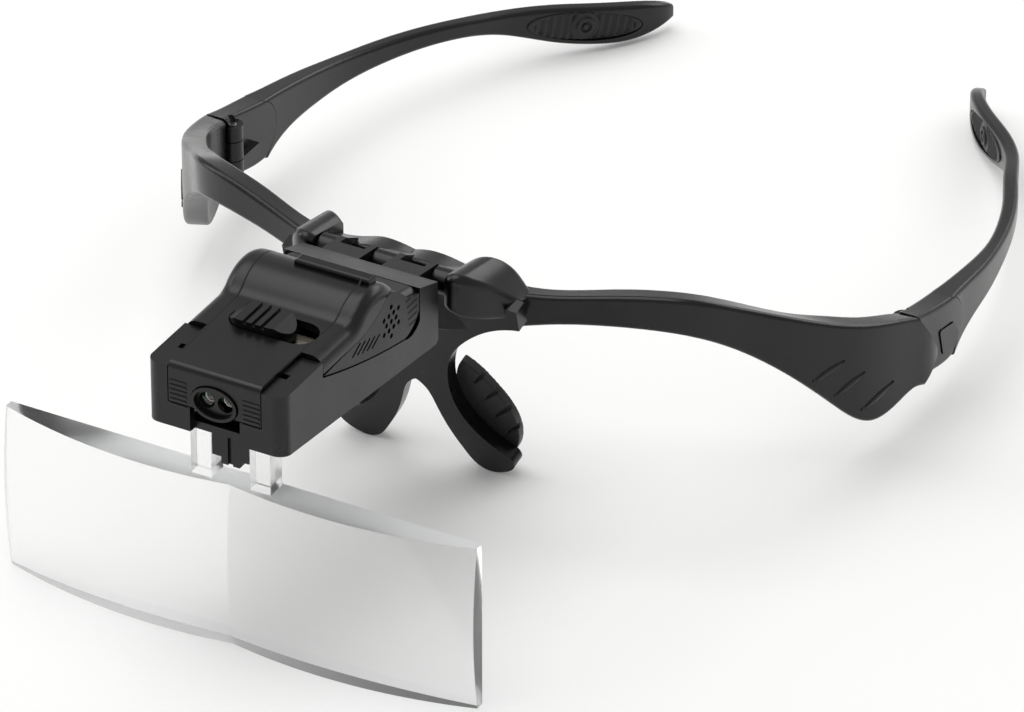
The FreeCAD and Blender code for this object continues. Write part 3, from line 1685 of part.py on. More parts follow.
def ear_pad_shapes():
    """The oval recess of the temple's inner side and the ribbed pad that fills it."""
    sections = temple_sections()
    start = sections[9]
    end = sections[12]

    def inner_middle(station):
        edge, heading, depth, height = station
        way = turned(heading)
        return edge + V(-way.y, way.x, 0) * depth + V(0, 0, -height / 2), height

    first, _ = inner_middle(start)
    last, _ = inner_middle(end)
    along = (last - first).normalize()
    middle = first + (last - first) * number("ear_pad_share") - V(0, 0, number("ear_pad_drop"))
    inward = V(-along.y, along.x, 0).normalize()
    up = along.cross(inward).normalize()
    if up.z < 0:
        up = -up
    length = number("ear_pad_length")
    height = number("ear_pad_height")
    depth = number("ear_pad_thickness")
    room = seat.value

    def oval(grow, outer, inner):
        centre = middle + inward * outer
        ellipse = Part.Ellipse(
            centre + along * (length / 2 + grow), centre + up * (height / 2 + grow), centre
        )
        return Part.Face(Part.Wire([ellipse.toShape()])).extrude(inward * (inner - outer))

    face_level = number("ear_pad_proud")
    recess = oval(room, 4.0, -depth - room)
    plate = oval(0.0, face_level - 0.5, -depth)
    ribs = []
    pitch = number("ear_rib_pitch")
    count = int(length / 2 / pitch)
    blank = oval(-0.6, face_level, -depth)
    for index in range(-count, count + 1):
        if abs(index) < 2:
            continue
        rib = Part.makeBox(pitch * 0.5, height, 3.0)
        rib.Placement = FreeCAD.Placement(
            middle + along * (index * pitch - pitch * 0.25) - up * (height / 2) - inward * 1.5,
            FreeCAD.Rotation(along, up, inward, "ZXY"),
        )
        ribs.append(rib.common(blank))
    ring = Part.makeCylinder(1.9, 3.0, middle - inward * 1.5, inward)
    ring = ring.cut(Part.makeCylinder(1.2, 3.0, middle - inward * 1.5, inward)).common(blank)
    dot = Part.makeCylinder(0.6, 3.0, middle - inward * 1.5, inward).common(blank)
    inlay = plate.fuse(ribs + [ring, dot])
    return recess, inlay


def build_springs():
    """The small spring behind each release button."""
    corner = V(number("hinge_half_width"), number("hinge_behind"), number("hinge_height"))
    inner = corner.x - number("button_thickness") - pin_room.value
    y = corner.y + number("button_front") + number("button_length") / 2
    z = corner.z - number("button_drop")
    spring = Part.makeCylinder(
        number("button_spring_radius"), number("button_spring_length"), V(inner, y, z), V(-1, 0, 0)
    )
    hole = Part.makeCylinder(
        number("button_spring_radius") * 0.6, number("button_spring_length"), V(inner, y, z), V(-1, 0, 0)
    )
    spring = spring.cut(hole)
    keep(shaped("spring_right", spring), "release_spring_right")
    keep(shaped("spring_left", spring.mirror(V(0, 0, 0), V(1, 0, 0))), "release_spring_left")


build_hinge_rod()
build_lamp_base()
build_top_shell()
build_side_grilles()
build_bezel_and_lamps()
build_switch()
build_cells()
build_door()
build_screws()
build_latch()
build_lens()
build_front_frame()
build_nose_pads()
build_temple_side()
build_springs()

doc.recompute()
for piece in doc.Objects:
    if "Invalid" in piece.State or "Error" in piece.State:
        raise RuntimeError("%s failed: %s" % (piece.Label, piece.State))

os.makedirs("parts", exist_ok=True)
for piece in nodes:
    shape = piece.Shape
    if shape.isNull() or not shape.isValid():
        raise RuntimeError("%s has no sound shape" % piece.Label)
    shape.exportStep("parts/%s.step" % piece.Label)
    bounds = shape.BoundBox
    print(
        "%-22s solids %d volume %.0f  x %.1f..%.1f y %.1f..%.1f z %.1f..%.1f"
        % (
            piece.Label,
            len(shape.Solids),
            shape.Volume,
            bounds.XMin,
            bounds.XMax,
            bounds.YMin,
            bounds.YMax,
            bounds.ZMin,
            bounds.ZMax,
        )
    )
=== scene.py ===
import logging
import math
from dataclasses import dataclass
from enum import Enum
from typing import Callable, Sequence

import bpy
from mathutils import Matrix, Vector
from mathutils.bvhtree import BVHTree


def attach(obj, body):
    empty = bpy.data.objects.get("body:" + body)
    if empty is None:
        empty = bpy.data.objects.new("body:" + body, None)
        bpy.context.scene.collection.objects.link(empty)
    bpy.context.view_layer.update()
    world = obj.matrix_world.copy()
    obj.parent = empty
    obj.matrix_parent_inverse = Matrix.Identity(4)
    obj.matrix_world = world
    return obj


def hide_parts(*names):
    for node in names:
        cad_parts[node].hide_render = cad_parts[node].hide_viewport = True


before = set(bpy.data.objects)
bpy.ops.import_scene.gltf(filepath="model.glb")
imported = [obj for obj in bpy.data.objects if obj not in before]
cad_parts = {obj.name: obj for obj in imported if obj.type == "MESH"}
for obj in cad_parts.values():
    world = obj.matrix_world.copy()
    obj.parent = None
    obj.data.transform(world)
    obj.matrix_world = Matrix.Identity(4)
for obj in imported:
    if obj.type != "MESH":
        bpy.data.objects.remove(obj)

log = logging.getLogger("magnifier_glasses")

MM = 0.001  # one millimetre in metres
SIDES = ((-1, "left"), (1, "right"))  # the sign of x on each side

# The sRGB curve: a straight foot below the knee and a power above it.
SRGB_KNEE = 0.04045
SRGB_FOOT = 12.92
SRGB_OFFSET = 0.055
SRGB_POWER = 2.4

# A laid bead's section, as shares of its width and of its height. Its edges are sunk.
BEAD_PROFILE = ((-0.5, -1.0), (-0.32, 0.6), (0.0, 1.0), (0.32, 0.6), (0.5, -1.0))
BEAD_WALL = 0.25  # mm
BEAD_FEWEST_ROWS = 3
BEAD_SMOOTH_ANGLE = 50  # degrees


def linear(code: str) -> tuple[float, float, float, float]:
    """Turns an sRGB colour into linear light.

    Args:
        code: six hex digits.

    Returns:
        Linear red, green, blue and an alpha of one.
    """
    levels = [int(code[i:i + 2], 16) / 255 for i in (0, 2, 4)]
    red, green, blue = (
        c / SRGB_FOOT if c <= SRGB_KNEE else ((c + SRGB_OFFSET) / (1 + SRGB_OFFSET)) ** SRGB_POWER
        for c in levels
    )
    return red, green, blue, 1.0


def add_node(
    tree: bpy.types.NodeTree,
    kind: str,
    settings: dict[str | int, object] | None = None,
    links: dict[str | int, bpy.types.NodeSocket] | None = None,
) -> bpy.types.Node:
    """Adds one node with its settings and links.

    Args:
        tree: the node tree that gets the node.
        kind: the node's type name.
        settings: values of inputs, by name or number, or of the node's own properties.
        links: sockets that feed the inputs, by name or number.

    Returns:
        The new node.
    """
    node = tree.nodes.new(kind)
    for key, value in (settings or {}).items():
        if isinstance(key, int) or key in node.inputs:
            node.inputs[key].default_value = value
        else:
            setattr(node, key, value)
    for key, socket in (links or {}).items():
        tree.links.new(socket, node.inputs[key])
    return node


def empty_material(name: str) -> tuple[bpy.types.Material, bpy.types.NodeTree, bpy.types.NodeSocket]:
    """Makes a material with no nodes but its output.

    Args:
        name: the material's name.

    Returns:
        The material, its node tree and the output's surface socket.
    """
    material = bpy.data.materials.new(name)
    material.use_nodes = True
    tree = material.node_tree
    tree.nodes.clear()
    output = tree.nodes.new("ShaderNodeOutputMaterial")
    return material, tree, output.inputs["Surface"]


def per_metre(size: float) -> float:
    """Finds the texture scale for a feature's size.

    Args:
        size: how far one feature is across, in mm.

    Returns:
        The number of features in a metre.
    """
    return 1.0 / (size * MM)


@dataclass(frozen=True)
class MouldedPlastic:
    """Injection-moulded ABS, nylon or soft rubber: a dark even body under the fine skin of the mould.

    The skin's grain is under a tenth of a millimetre on the real thing, too fine to show, so it is
    drawn a few times as coarse. Handling leaves broad patches that shine a little more.
    """

    name: str
    colour: str
    pale: str
    gloss_low: float
    gloss_high: float
    grain_mm: float
    grain_depth_mm: float
    patch_mm: float = 14.0
    sheen: float = 0.0
    shine: float = 0.36

    def build(self) -> bpy.types.Material:
        """Makes the material."""
        material, tree, surface = empty_material(self.name)
        place = add_node(tree, "ShaderNodeTexCoord")
        grain = add_node(
            tree, "ShaderNodeTexNoise",
            {"Scale": per_metre(self.grain_mm), "Detail": 3.0, "Roughness": 0.55},
            {"Vector": place.outputs["Object"]},
        )
        patches = add_node(
            tree, "ShaderNodeTexNoise",
            {"Scale": per_metre(self.patch_mm), "Detail": 4.0, "Roughness": 0.6, "Distortion": 0.4},
            {"Vector": place.outputs["Object"]},
        )
        rough = add_node(
            tree, "ShaderNodeMapRange",
            {"From Min": 0.3, "From Max": 0.7, "To Min": self.gloss_low, "To Max": self.gloss_high},
            {"Value": patches.outputs[0]},
        )
        shade = add_node(
            tree, "ShaderNodeMapRange", {"From Min": 0.35, "From Max": 0.75}, {"Value": patches.outputs[0]}
        )
        colour = add_node(
            tree, "ShaderNodeMix", {"data_type": "RGBA", 6: linear(self.colour), 7: linear(self.pale)},
            {0: shade.outputs[0]},
        )
        relief = add_node(
            tree, "ShaderNodeBump", {"Strength": 0.6, "Distance": self.grain_depth_mm * MM},
            {"Height": grain.outputs[0]},
        )
        body = add_node(
            tree, "ShaderNodeBsdfPrincipled",
            {"IOR": 1.5, "Specular IOR Level": self.shine, "Sheen Weight": self.sheen},
            {"Base Color": colour.outputs[2], "Roughness": rough.outputs[0], "Normal": relief.outputs[0]},
        )
        tree.links.new(body.outputs[0], surface)
        return material


@dataclass(frozen=True)
class ClearPlastic:
    """Polished clear acrylic or epoxy: bright through its faces, whiter along the moulded side walls.

    Light on its way to what lies behind passes straight through, as through a thin window, so its
    shadow is pale.
    """

    name: str
    tint: str
    ior: float
    face_rough: float
    side_rough: float
    shadow_tint: str = "DFE1E1"
    flow_mm: float = 9.0
    flow_depth_mm: float = 0.02

    def build(self) -> bpy.types.Material:
        """Makes the material."""
        material, tree, surface = empty_material(self.name)
        place = add_node(tree, "ShaderNodeTexCoord")
        facing = add_node(tree, "ShaderNodeSeparateXYZ", links={0: place.outputs["Normal"]})
        across = add_node(tree, "ShaderNodeMath", {"operation": "ABSOLUTE"}, {0: facing.outputs["Y"]})
        rough = add_node(
            tree, "ShaderNodeMapRange",
            {"From Min": 0.55, "From Max": 0.8, "To Min": self.side_rough, "To Max": self.face_rough},
            {"Value": across.outputs[0]},
        )
        flow = add_node(
            tree, "ShaderNodeTexNoise", {"Scale": per_metre(self.flow_mm), "Detail": 2.0},
            {"Vector": place.outputs["Object"]},
        )
        relief = add_node(
            tree, "ShaderNodeBump", {"Strength": 0.25, "Distance": self.flow_depth_mm * MM},
            {"Height": flow.outputs[0]},
        )
        body = add_node(
            tree, "ShaderNodeBsdfPrincipled",
            {"Base Color": linear(self.tint), "IOR": self.ior, "Transmission Weight": 1.0},
            {"Roughness": rough.outputs[0], "Normal": relief.outputs[0]},
        )
        way = add_node(tree, "ShaderNodeLightPath")
        through = add_node(tree, "ShaderNodeBsdfTransparent", {"Color": linear(self.shadow_tint)})
        mix = add_node(
            tree, "ShaderNodeMixShader",
            links={0: way.outputs["Is Shadow Ray"], 1: body.outputs[0], 2: through.outputs[0]},
        )
        tree.links.new(mix.outputs[0], surface)
        return material


@dataclass(frozen=True)
class DrawnMetal:
    """Drawn or pressed metal with fine lines along its length."""

    name: str
    colour: str
    rough: float
    line_mm: float
    line_depth_mm: float = 0.01
    stretch: float = 0.06
    rough_shares: tuple[float, float] = (0.7, 1.4)

    def build(self) -> bpy.types.Material:
        """Makes the material."""
        material, tree, surface = empty_material(self.name)
        place = add_node(tree, "ShaderNodeTexCoord")
        along = add_node(
            tree, "ShaderNodeMapping", {"Scale": (self.stretch, 1.0, 1.0)},
            {"Vector": place.outputs["Object"]},
        )
        lines = add_node(
            tree, "ShaderNodeTexNoise", {"Scale": per_metre(self.line_mm), "Detail": 2.0},
            {"Vector": along.outputs[0]},
        )
        least, most = self.rough_shares
        rough = add_node(
            tree, "ShaderNodeMapRange", {"To Min": self.rough * least, "To Max": self.rough * most},
            {"Value": lines.outputs[0]},
        )
        relief = add_node(
            tree, "ShaderNodeBump", {"Strength": 0.3, "Distance": self.line_depth_mm * MM},
            {"Height": lines.outputs[0]},
        )
        body = add_node(
            tree, "ShaderNodeBsdfPrincipled", {"Base Color": linear(self.colour), "Metallic": 1.0},
            {"Roughness": rough.outputs[0], "Normal": relief.outputs[0]},
        )
        tree.links.new(body.outputs[0], surface)
        return material


class Finish(Enum):
    """The finishes of the glasses, each with the material slot of the record that it belongs to."""

    FRAME = ("frame_black", MouldedPlastic("satin_black_nylon", "050506", "0A0A0B", 0.2, 0.3, 0.35, 0.010))
    LAMP = ("lamp_black", MouldedPlastic("black_abs", "060607", "0C0C0D", 0.25, 0.36, 0.30, 0.012))
    GRILLE = ("lamp_black", MouldedPlastic("fine_matt_abs", "060607", "0D0D0E", 0.34, 0.44, 0.25, 0.015))
    RUBBER = ("pad_rubber", MouldedPlastic(
        "soft_black_rubber", "0A0A0B", "131314", 0.42, 0.55, 0.45, 0.02, patch_mm=6.0, sheen=0.12))
    # Near-black strips laid over slots and grooves: painted shade of their insides, not a colour of the
    # plastic.
    GROOVE = ("lamp_black", MouldedPlastic("groove_shadow", "020202", "050505", 0.6, 0.8, 0.3, 0.01))
    STEEL = ("steel", DrawnMetal("drawn_steel", "C9C9C6", 0.25, 0.2))
    CONTACT = ("contact", DrawnMetal("nickel_spring_strip", "BDB7A8", 0.3, 0.3))
    LENS = ("lens_clear", ClearPlastic("polished_acrylic", "FAFAFA", 1.49, 0.03, 0.28))
    LED = ("led_clear", ClearPlastic("clear_epoxy", "F8F8F4", 1.53, 0.03, 0.05))
    BOARD = ("board", MouldedPlastic("solder_mask_board", "0C3B22", "12502E", 0.3, 0.4, 0.5, 0.01))
    RESISTOR = ("resistor", MouldedPlastic("resistor_lacquer", "B79A6A", "C7AE82", 0.35, 0.5, 0.4, 0.01))
    PHOSPHOR = ("led_clear", MouldedPlastic("lamp_phosphor", "D9C25A", "E6D27A", 0.5, 0.6, 0.2, 0.01))

    @property
    def slot(self) -> str:
        """The record's material slot."""
        return self.value[0]

    def material(self) -> bpy.types.Material:
        """The finish's material, made once."""
        recipe = self.value[1]
        return bpy.data.materials.get(recipe.name) or recipe.build()


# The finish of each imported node, by how the node's name starts.
NODE_FINISH: dict[str, Finish] = {
    "front_frame": Finish.FRAME, "hinge_block_": Finish.FRAME, "temple_arm_": Finish.FRAME,
    "release_button_": Finish.FRAME, "hinge_rod": Finish.FRAME, "fold_pin_": Finish.STEEL,
    "release_spring_": Finish.STEEL, "lamp_": Finish.LAMP, "led_bezel": Finish.LAMP,
    "side_grille_": Finish.GRILLE, "switch_slider": Finish.LAMP, "switch_body": Finish.CONTACT,
    "battery_door": Finish.LAMP, "lens_latch": Finish.LAMP, "led_board": Finish.BOARD,
    "led_left": Finish.LED, "led_right": Finish.LED, "current_resistor": Finish.RESISTOR,
    "button_cells": Finish.STEEL, "contact_": Finish.CONTACT, "shell_screws": Finish.STEEL,
    "door_screw": Finish.STEEL, "magnifier_lens": Finish.LENS, "nose_pad_": Finish.RUBBER,
    "ear_pad_": Finish.RUBBER,
}


def dress_nodes() -> None:
    """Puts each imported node's material in its object's slots."""
    for name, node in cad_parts.items():
        finish = next((f for key, f in NODE_FINISH.items() if name.startswith(key)), Finish.LAMP)
        if not node.material_slots:
            node.data.materials.append(None)
        for slot in node.material_slots:
            slot.link = "OBJECT"
            slot.material = finish.material()
        log.info("%s dressed as %s", name, finish.name)


def finish_piece(piece: bpy.types.Object, finish: Finish, body: str) -> None:
    """Gives a new piece its finish and makes it move with a body.

    Args:
        piece: the piece, in place.
        finish: its finish.
        body: the body that it rides on.
    """
    piece.data.materials.clear()
    piece.data.materials.append(finish.material())
    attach(piece, body)
    log.info("%s: %d faces on %s", piece.name, len(piece.data.polygons), body)


def nothing_selected() -> None:
    """Deselects every object."""
    bpy.ops.object.select_all(action="DESELECT")


def apply_all(piece: bpy.types.Object) -> None:
    """Applies the piece's modifiers in order, then its own place.

    Args:
        piece: the piece.
    """
    nothing_selected()
    piece.select_set(True)
    bpy.context.view_layer.objects.active = piece
    for name in [m.name for m in piece.modifiers]:
        bpy.ops.object.modifier_apply(modifier=name)
    bpy.ops.object.transform_apply(location=True, rotation=True, scale=True)


def rounded_bar(name: str, centre: Sequence[float], size: Sequence[float], edge: float) -> bpy.types.Object:
    """Models a bar with rounded edges from a cube.

    Args:
        name: the piece's name.
        centre: its middle, in mm.
        size: its width, depth and height, in mm.
        edge: the edges' radius, in mm.

    Returns:
        The bar, in place.
    """
    nothing_selected()
    bpy.ops.mesh.primitive_cube_add(size=1.0, location=Vector(centre) * MM)
    bar = bpy.context.active_object
    bar.name = name
    bpy.ops.object.mode_set(mode="EDIT")
    bpy.ops.mesh.select_all(action="SELECT")
    bpy.ops.transform.resize(value=tuple(s * MM for s in size), center_override=tuple(Vector(centre) * MM))
    bpy.ops.mesh.bevel(offset=edge * MM, segments=3, affect="EDGES")
    bpy.ops.object.mode_set(mode="OBJECT")
    apply_all(bar)
    return bar


class NodeSurface:
    """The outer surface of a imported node, for details that lie on it."""

    def __init__(self, node: str) -> None:
        """Reads the node's triangles.

        Args:
            node: the node's name.
        """
        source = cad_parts[node]
        points = [source.matrix_world @ v.co for v in source.data.vertices]
        self.tree = BVHTree.FromPolygons(points, [tuple(p.vertices) for p in source.data.polygons])

    def under(self, start: Sequence[float], heading: Sequence[float]) -> tuple[Vector, Vector] | None:
        """Finds where a line meets the surface.

        Args:
            start: the line's start, in mm.
            heading: its direction.

        Returns:
            The point and its outward normal, in metres, or None where the line misses.
        """
        ray = Vector(heading).normalized()
        point, normal, _, _ = self.tree.ray_cast(Vector(start) * MM, ray)
        if point is None:
            return None
        return point, normal if normal.dot(ray) < 0 else -normal


def line_points(first: Sequence[float], last: Sequence[float], count: int) -> list[tuple[float, ...]]:
    """Divides a straight line evenly.

    Args:
        first: its first point.
        last: its last point.
        count: how many points it gets, both ends included.

    Returns:
        The points in order.
    """
    return [tuple(a + (b - a) * step / (count - 1) for a, b in zip(first, last)) for step in range(count)]


def laid_bead(
    name: str,
    surface: NodeSurface,
    starts: Sequence[Sequence[float]],
    heading: Sequence[float],
    width: Callable[[float], float],
    proud: float,
) -> bpy.types.Object | None:
    """Lays a slim bead on a surface along a line, its edges sunk into what carries it.

    Args:
        name: the bead's name.
        surface: what it lies on.
        starts: points from which the line is dropped on the surface, in mm.
        heading: the direction in which they are dropped.
        width: the bead's width in mm at a share of its length, from 0 to 1.
        proud: how far it stands proud, in mm.

    Returns:
        The bead, or None where the line misses the surface.
    """
    hits = [h for h in (surface.under(s, heading) for s in starts) if h]
    rows, columns = len(hits), len(BEAD_PROFILE)
    if rows < BEAD_FEWEST_ROWS:
        return None
    nothing_selected()
    bpy.ops.mesh.primitive_grid_add(x_subdivisions=columns - 1, y_subdivisions=rows - 1, size=1.0)
    bead = bpy.context.active_object
    bead.name = name
    for number, vertex in enumerate(bead.data.vertices):
        row, column = divmod(number, columns)
        point, normal = hits[row]
        after, before = hits[min(row + 1, rows - 1)][0], hits[max(row - 1, 0)][0]
        side = (after - before).normalized().cross(normal).normalized()
        across, rise = BEAD_PROFILE[column]
        broad = width(row / (rows - 1)) * MM
        vertex.co = point + side * (across * broad) + normal * (rise * proud * MM)
    wall = bead.modifiers.new("wall", "SOLIDIFY")
    wall.thickness = BEAD_WALL * MM
    wall.offset = -1.0
    apply_all(bead)
    bpy.ops.object.mode_set(mode="EDIT")
    bpy.ops.mesh.select_all(action="SELECT")
    bpy.ops.mesh.normals_make_consistent(inside=False)
    bpy.ops.object.mode_set(mode="OBJECT")
    bpy.ops.object.shade_smooth_by_angle(angle=math.radians(BEAD_SMOOTH_ANGLE))
    return bead


@dataclass
class RubberPads:
    """The soft pads: wings behind the nose legs and ribbed oval inlays in the temple tips.

    Sizes are in mm. Ribs are pressed into the skin where it faces the wearer, between the plain
    ring in the middle and the plain rim.
    """

    nose_voxel: float = 0.17
    ear_voxel: float = 0.15
    weld: float = 0.002
    smoothing: float = 0.5
    smoothing_rounds: int = 3
    rib_pitch: float = 1.7
    rib_depth: float = 0.42
    oval_half_height: float = 3.1
    least_facing: float = 0.5
    ring_radius: float = 3.0
    plain_rim: float = 1.3

    def press_ribs(self, pad: bpy.types.Object) -> None:
        """Presses the upright ribs of an ear pad into its inner face, clear of its ring and rim.

        Args:
            pad: the pad's skin.
        """
        points = [v.co for v in pad.data.vertices]
        near = min(points, key=lambda p: p.y).copy()
        far = max(points, key=lambda p: p.y).copy()
        along = (far - near).normalized()
        half = (far - near).length / 2
        middle = (near + far) / 2
        inward = Vector((-along.y, along.x, 0.0)).normalized()
        if inward.x * middle.x > 0:
            inward = -inward
        for vertex, normal in [(v, v.normal.copy()) for v in pad.data.vertices]:
            run = (vertex.co - middle).dot(along)
            rise = vertex.co.z - middle.z - run * along.z
            from_middle = math.hypot(run, rise) / MM
            high = rise / (self.oval_half_height * MM)
            from_rim = half * math.sqrt(max(0.0, 1 - high ** 2)) - abs(run)
            faces_in = normal.dot(inward) >= self.least_facing
            if not faces_in or from_middle < self.ring_radius or from_rim < self.plain_rim * MM:
                continue
            wave = 0.5 - 0.5 * math.cos(2 * math.pi * run / (self.rib_pitch * MM))
            vertex.co -= inward * (self.rib_depth * MM * wave)

    def soften(self, node: str, body: str, voxel: float) -> None:
        """Models a pad on its node: one skin with soft edges, and ribs on the ear pads.

        Args:
            node: the CAD node that the pad stands for.
            body: the body that it rides on.
            voxel: the skin's detail, in mm.
        """
        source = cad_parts[node]
        mesh = source.data.copy()
        mesh.transform(source.matrix_world)
        pad = bpy.data.objects.new(f"{node}_rubber", mesh)
        bpy.context.scene.collection.objects.link(pad)
        nothing_selected()
        pad.select_set(True)
        bpy.context.view_layer.objects.active = pad
        bpy.ops.object.mode_set(mode="EDIT")
        bpy.ops.mesh.select_all(action="SELECT")
        bpy.ops.mesh.remove_doubles(threshold=self.weld * MM)
        bpy.ops.object.mode_set(mode="OBJECT")
        skin = pad.modifiers.new("skin", "REMESH")
        skin.mode = "VOXEL"
        skin.voxel_size = voxel * MM
        soft = pad.modifiers.new("soft", "SMOOTH")
        soft.factor = self.smoothing
        soft.iterations = self.smoothing_rounds
        apply_all(pad)
        if node.startswith("ear_pad_"):
            self.press_ribs(pad)
        bpy.ops.object.shade_smooth()
        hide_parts(node)
        finish_piece(pad, Finish.RUBBER, body)

    def build(self) -> None:
        """Makes the four pads."""
        for _, word in SIDES:
            self.soften(f"nose_pad_{word}", "frame", self.nose_voxel)
            self.soften(f"ear_pad_{word}", f"temple_{word}", self.ear_voxel)


@dataclass
class RearSlots:
    """The short slots behind the dots of each side panel, each a dark line of painted shade laid on the
    panel in place of the shade inside the slot. Sizes are in mm.
    """

    count: int = 5
    front: float = -73.4
    front_step: float = 0.25
    rear: float = -69.6
    top: float = 54.0
    pitch: float = 1.35
    width: float = 0.6
    proud: float = 0.03
    beside: float = 30.0
    points: int = 18

    def build(self) -> None:
        """Lays the slots on both panels."""
        for side, word in SIDES:
            panel = NodeSurface(f"side_grille_{word}")
            for number in range(self.count):
                front = self.front + self.front_step * number
                height = self.top - self.pitch * number
                starts = line_points(
                    (side * self.beside, front, height), (side * self.beside, self.rear, height), self.points
                )
                slot = laid_bead(
                    f"rear_slot_{word}_{number}", panel, starts, (-side, 0, 0),
                    lambda share: self.width, self.proud,
                )
                if slot:
                    # The slot's near-black strip is painted shade of its inside.
                    finish_piece(slot, Finish.GROOVE, "lamp")


@dataclass
class FrontRibs:
    """The row of short level ribs on each side of the lamp recess. Sizes are in mm."""

    inner: float = 5.6
    depth_place: float = -116.25
    lowest: float = 50.1
    length: float = 3.4
    depth: float = 0.5
    height: float = 0.45
    edge: float = 0.14
    pitch: float = 0.95
    count: int = 6

    def build(self) -> None:
        """Models both rows."""
        for side, word in SIDES:
            middle = side * (self.inner + self.length / 2)
            rib = rounded_bar(
                f"front_ribs_{word}", (middle, self.depth_place, self.lowest),
                (self.length, self.depth, self.height), self.edge,
            )
            row = rib.modifiers.new("row", "ARRAY")
            row.use_relative_offset = False
            row.use_constant_offset = True
            row.constant_offset_displace = (0.0, 0.0, self.pitch * MM)
            row.count = self.count
            apply_all(rib)
            finish_piece(rib, Finish.LAMP, "lamp")


@dataclass
class LampInside:
    """Each lamp's reflector cup with its chip and two leads, seen through the epoxy. Sizes are in mm.

    The cup is a short cone that narrows to the back, with a hollow in its front face.
    """

    x: float = 1.85
    y: float = -113.0
    z: float = 52.5
    cup_front_radius: float = 0.95
    cup_rear_radius: float = 0.55
    cup_depth: float = 0.8
    cup_sides: int = 32
    cup_rim: float = 0.12
    cup_hollow: float = 0.45
    cup_taper: float = 0.6
    cup_smooth_angle: float = 40.0
    chip_size: tuple[float, float, float] = (0.5, 0.22, 0.5)
    chip_edge: float = 0.06
    chip_back: float = 0.02
    lead_size: tuple[float, float, float] = (0.45, 2.0, 0.4)
    lead_edge: float = 0.08
    lead_back: float = 1.4
    lead_step: float = 0.45

    def cup(self, side: int, word: str) -> None:
        """Models one reflector cup.

        Args:
            side: the sign of x.
            word: the side's name.
        """
        middle = Vector((side * self.x, self.y, self.z)) * MM
        nothing_selected()
        bpy.ops.mesh.primitive_cone_add(
            vertices=self.cup_sides, radius1=self.cup_front_radius * MM, radius2=self.cup_rear_radius * MM,
            depth=self.cup_depth * MM, location=middle, rotation=(-math.pi / 2, 0.0, 0.0),
        )
        cup = bpy.context.active_object
        cup.name = f"lamp_cup_{word}"
        apply_all(cup)
        bpy.ops.object.mode_set(mode="EDIT")
        bpy.ops.mesh.select_all(action="DESELECT")
        bpy.ops.object.mode_set(mode="OBJECT")
        for face in cup.data.polygons:
            face.select = len(face.vertices) > 4 and face.normal.y < -0.9  # the round front face
        bpy.ops.object.mode_set(mode="EDIT")
        bpy.ops.mesh.inset(thickness=self.cup_rim * MM)
        bpy.ops.mesh.extrude_region_move(TRANSFORM_OT_translate={"value": (0.0, self.cup_hollow * MM, 0.0)})
        bpy.ops.transform.resize(value=(self.cup_taper, 1.0, self.cup_taper), center_override=tuple(middle))
        bpy.ops.object.mode_set(mode="OBJECT")
        bpy.ops.object.shade_smooth_by_angle(angle=math.radians(self.cup_smooth_angle))
        finish_piece(cup, Finish.STEEL, "lamp")

    def build(self) -> None:
        """Models what is in both lamps."""
        for side, word in SIDES:
            self.cup(side, word)
            chip = rounded_bar(
                f"lamp_chip_{word}", (side * self.x, self.y + self.chip_back, self.z),
                self.chip_size, self.chip_edge,
            )
            finish_piece(chip, Finish.PHOSPHOR, "lamp")
            for step, post in ((-self.lead_step, "low"), (self.lead_step, "high")):
                lead = rounded_bar(
                    f"lamp_lead_{word}_{post}", (side * self.x, self.y + self.lead_back, self.z + step),
                    self.lead_size, self.lead_edge,
                )
                finish_piece(lead, Finish.STEEL, "lamp")


@dataclass
class PanelLines:
    """The fine lines that bound the middle panel of the top shell, each a near-black strip of painted shade
    in place of the shade in its groove. Sizes are in mm.
    """

    half: float = 9.0
    flare: float = 1.2
    front: float = -111.5
    rear: float = -74.0
    width: float = 0.42
    proud: float = 0.05
    above: float = 80.0
    points: int = 46

    def build(self) -> None:
        """Lays both lines."""
        shell = NodeSurface("lamp_top_shell")
        for side, word in SIDES:
            starts = line_points(
                (side * self.half, self.front, self.above),
                (side * (self.half + self.flare), self.rear, self.above), self.points,
            )
            line = laid_bead(
                f"panel_line_{word}", shell, starts, (0, 0, -1), lambda share: self.width, self.proud
            )
            if line:
                # The line's near-black strip is painted shade of the groove.
                finish_piece(line, Finish.GROOVE, "lamp")


@dataclass
class CornerFlutes:
    """The slim flutes on the outer corner of the brow on each side, where the moulding has dimples.

    Each is a spindle drawn from (y, z) to (y, z), in mm, on the face that looks outwards.
    """

    lines: tuple[tuple[float, float, float, float], ...] = (
        (-17.2, 22.0, -11.4, 24.4), (-13.2, 17.5, -7.2, 20.3), (-7.8, 12.3, -0.1, 15.1),
    )
    widest: float = 2.0
    proud: float = 0.28
    blunt_share: float = 0.03
    beside: float = 95.0
    points: int = 26

    def width(self, share: float) -> float:
        """The spindle's width, in mm.

        Args:
            share: the place along its length, from 0 to 1.

        Returns:
            The width there.
        """
        inside = min(max(share, self.blunt_share), 1 - self.blunt_share)
        return self.widest * math.sin(math.pi * inside)

    def build(self) -> None:
        """Lays the flutes on both corners."""
        brow = NodeSurface("front_frame")
        for side, word in SIDES:
            for number, (y0, z0, y1, z1) in enumerate(self.lines):
                starts = line_points(
                    (side * self.beside, y0, z0), (side * self.beside, y1, z1), self.points
                )
                spindle = laid_bead(
                    f"corner_dimple_{word}_{number}", brow, starts, (-side, 0, 0), self.width, self.proud
                )
                if spindle:
                    finish_piece(spindle, Finish.FRAME, "frame")


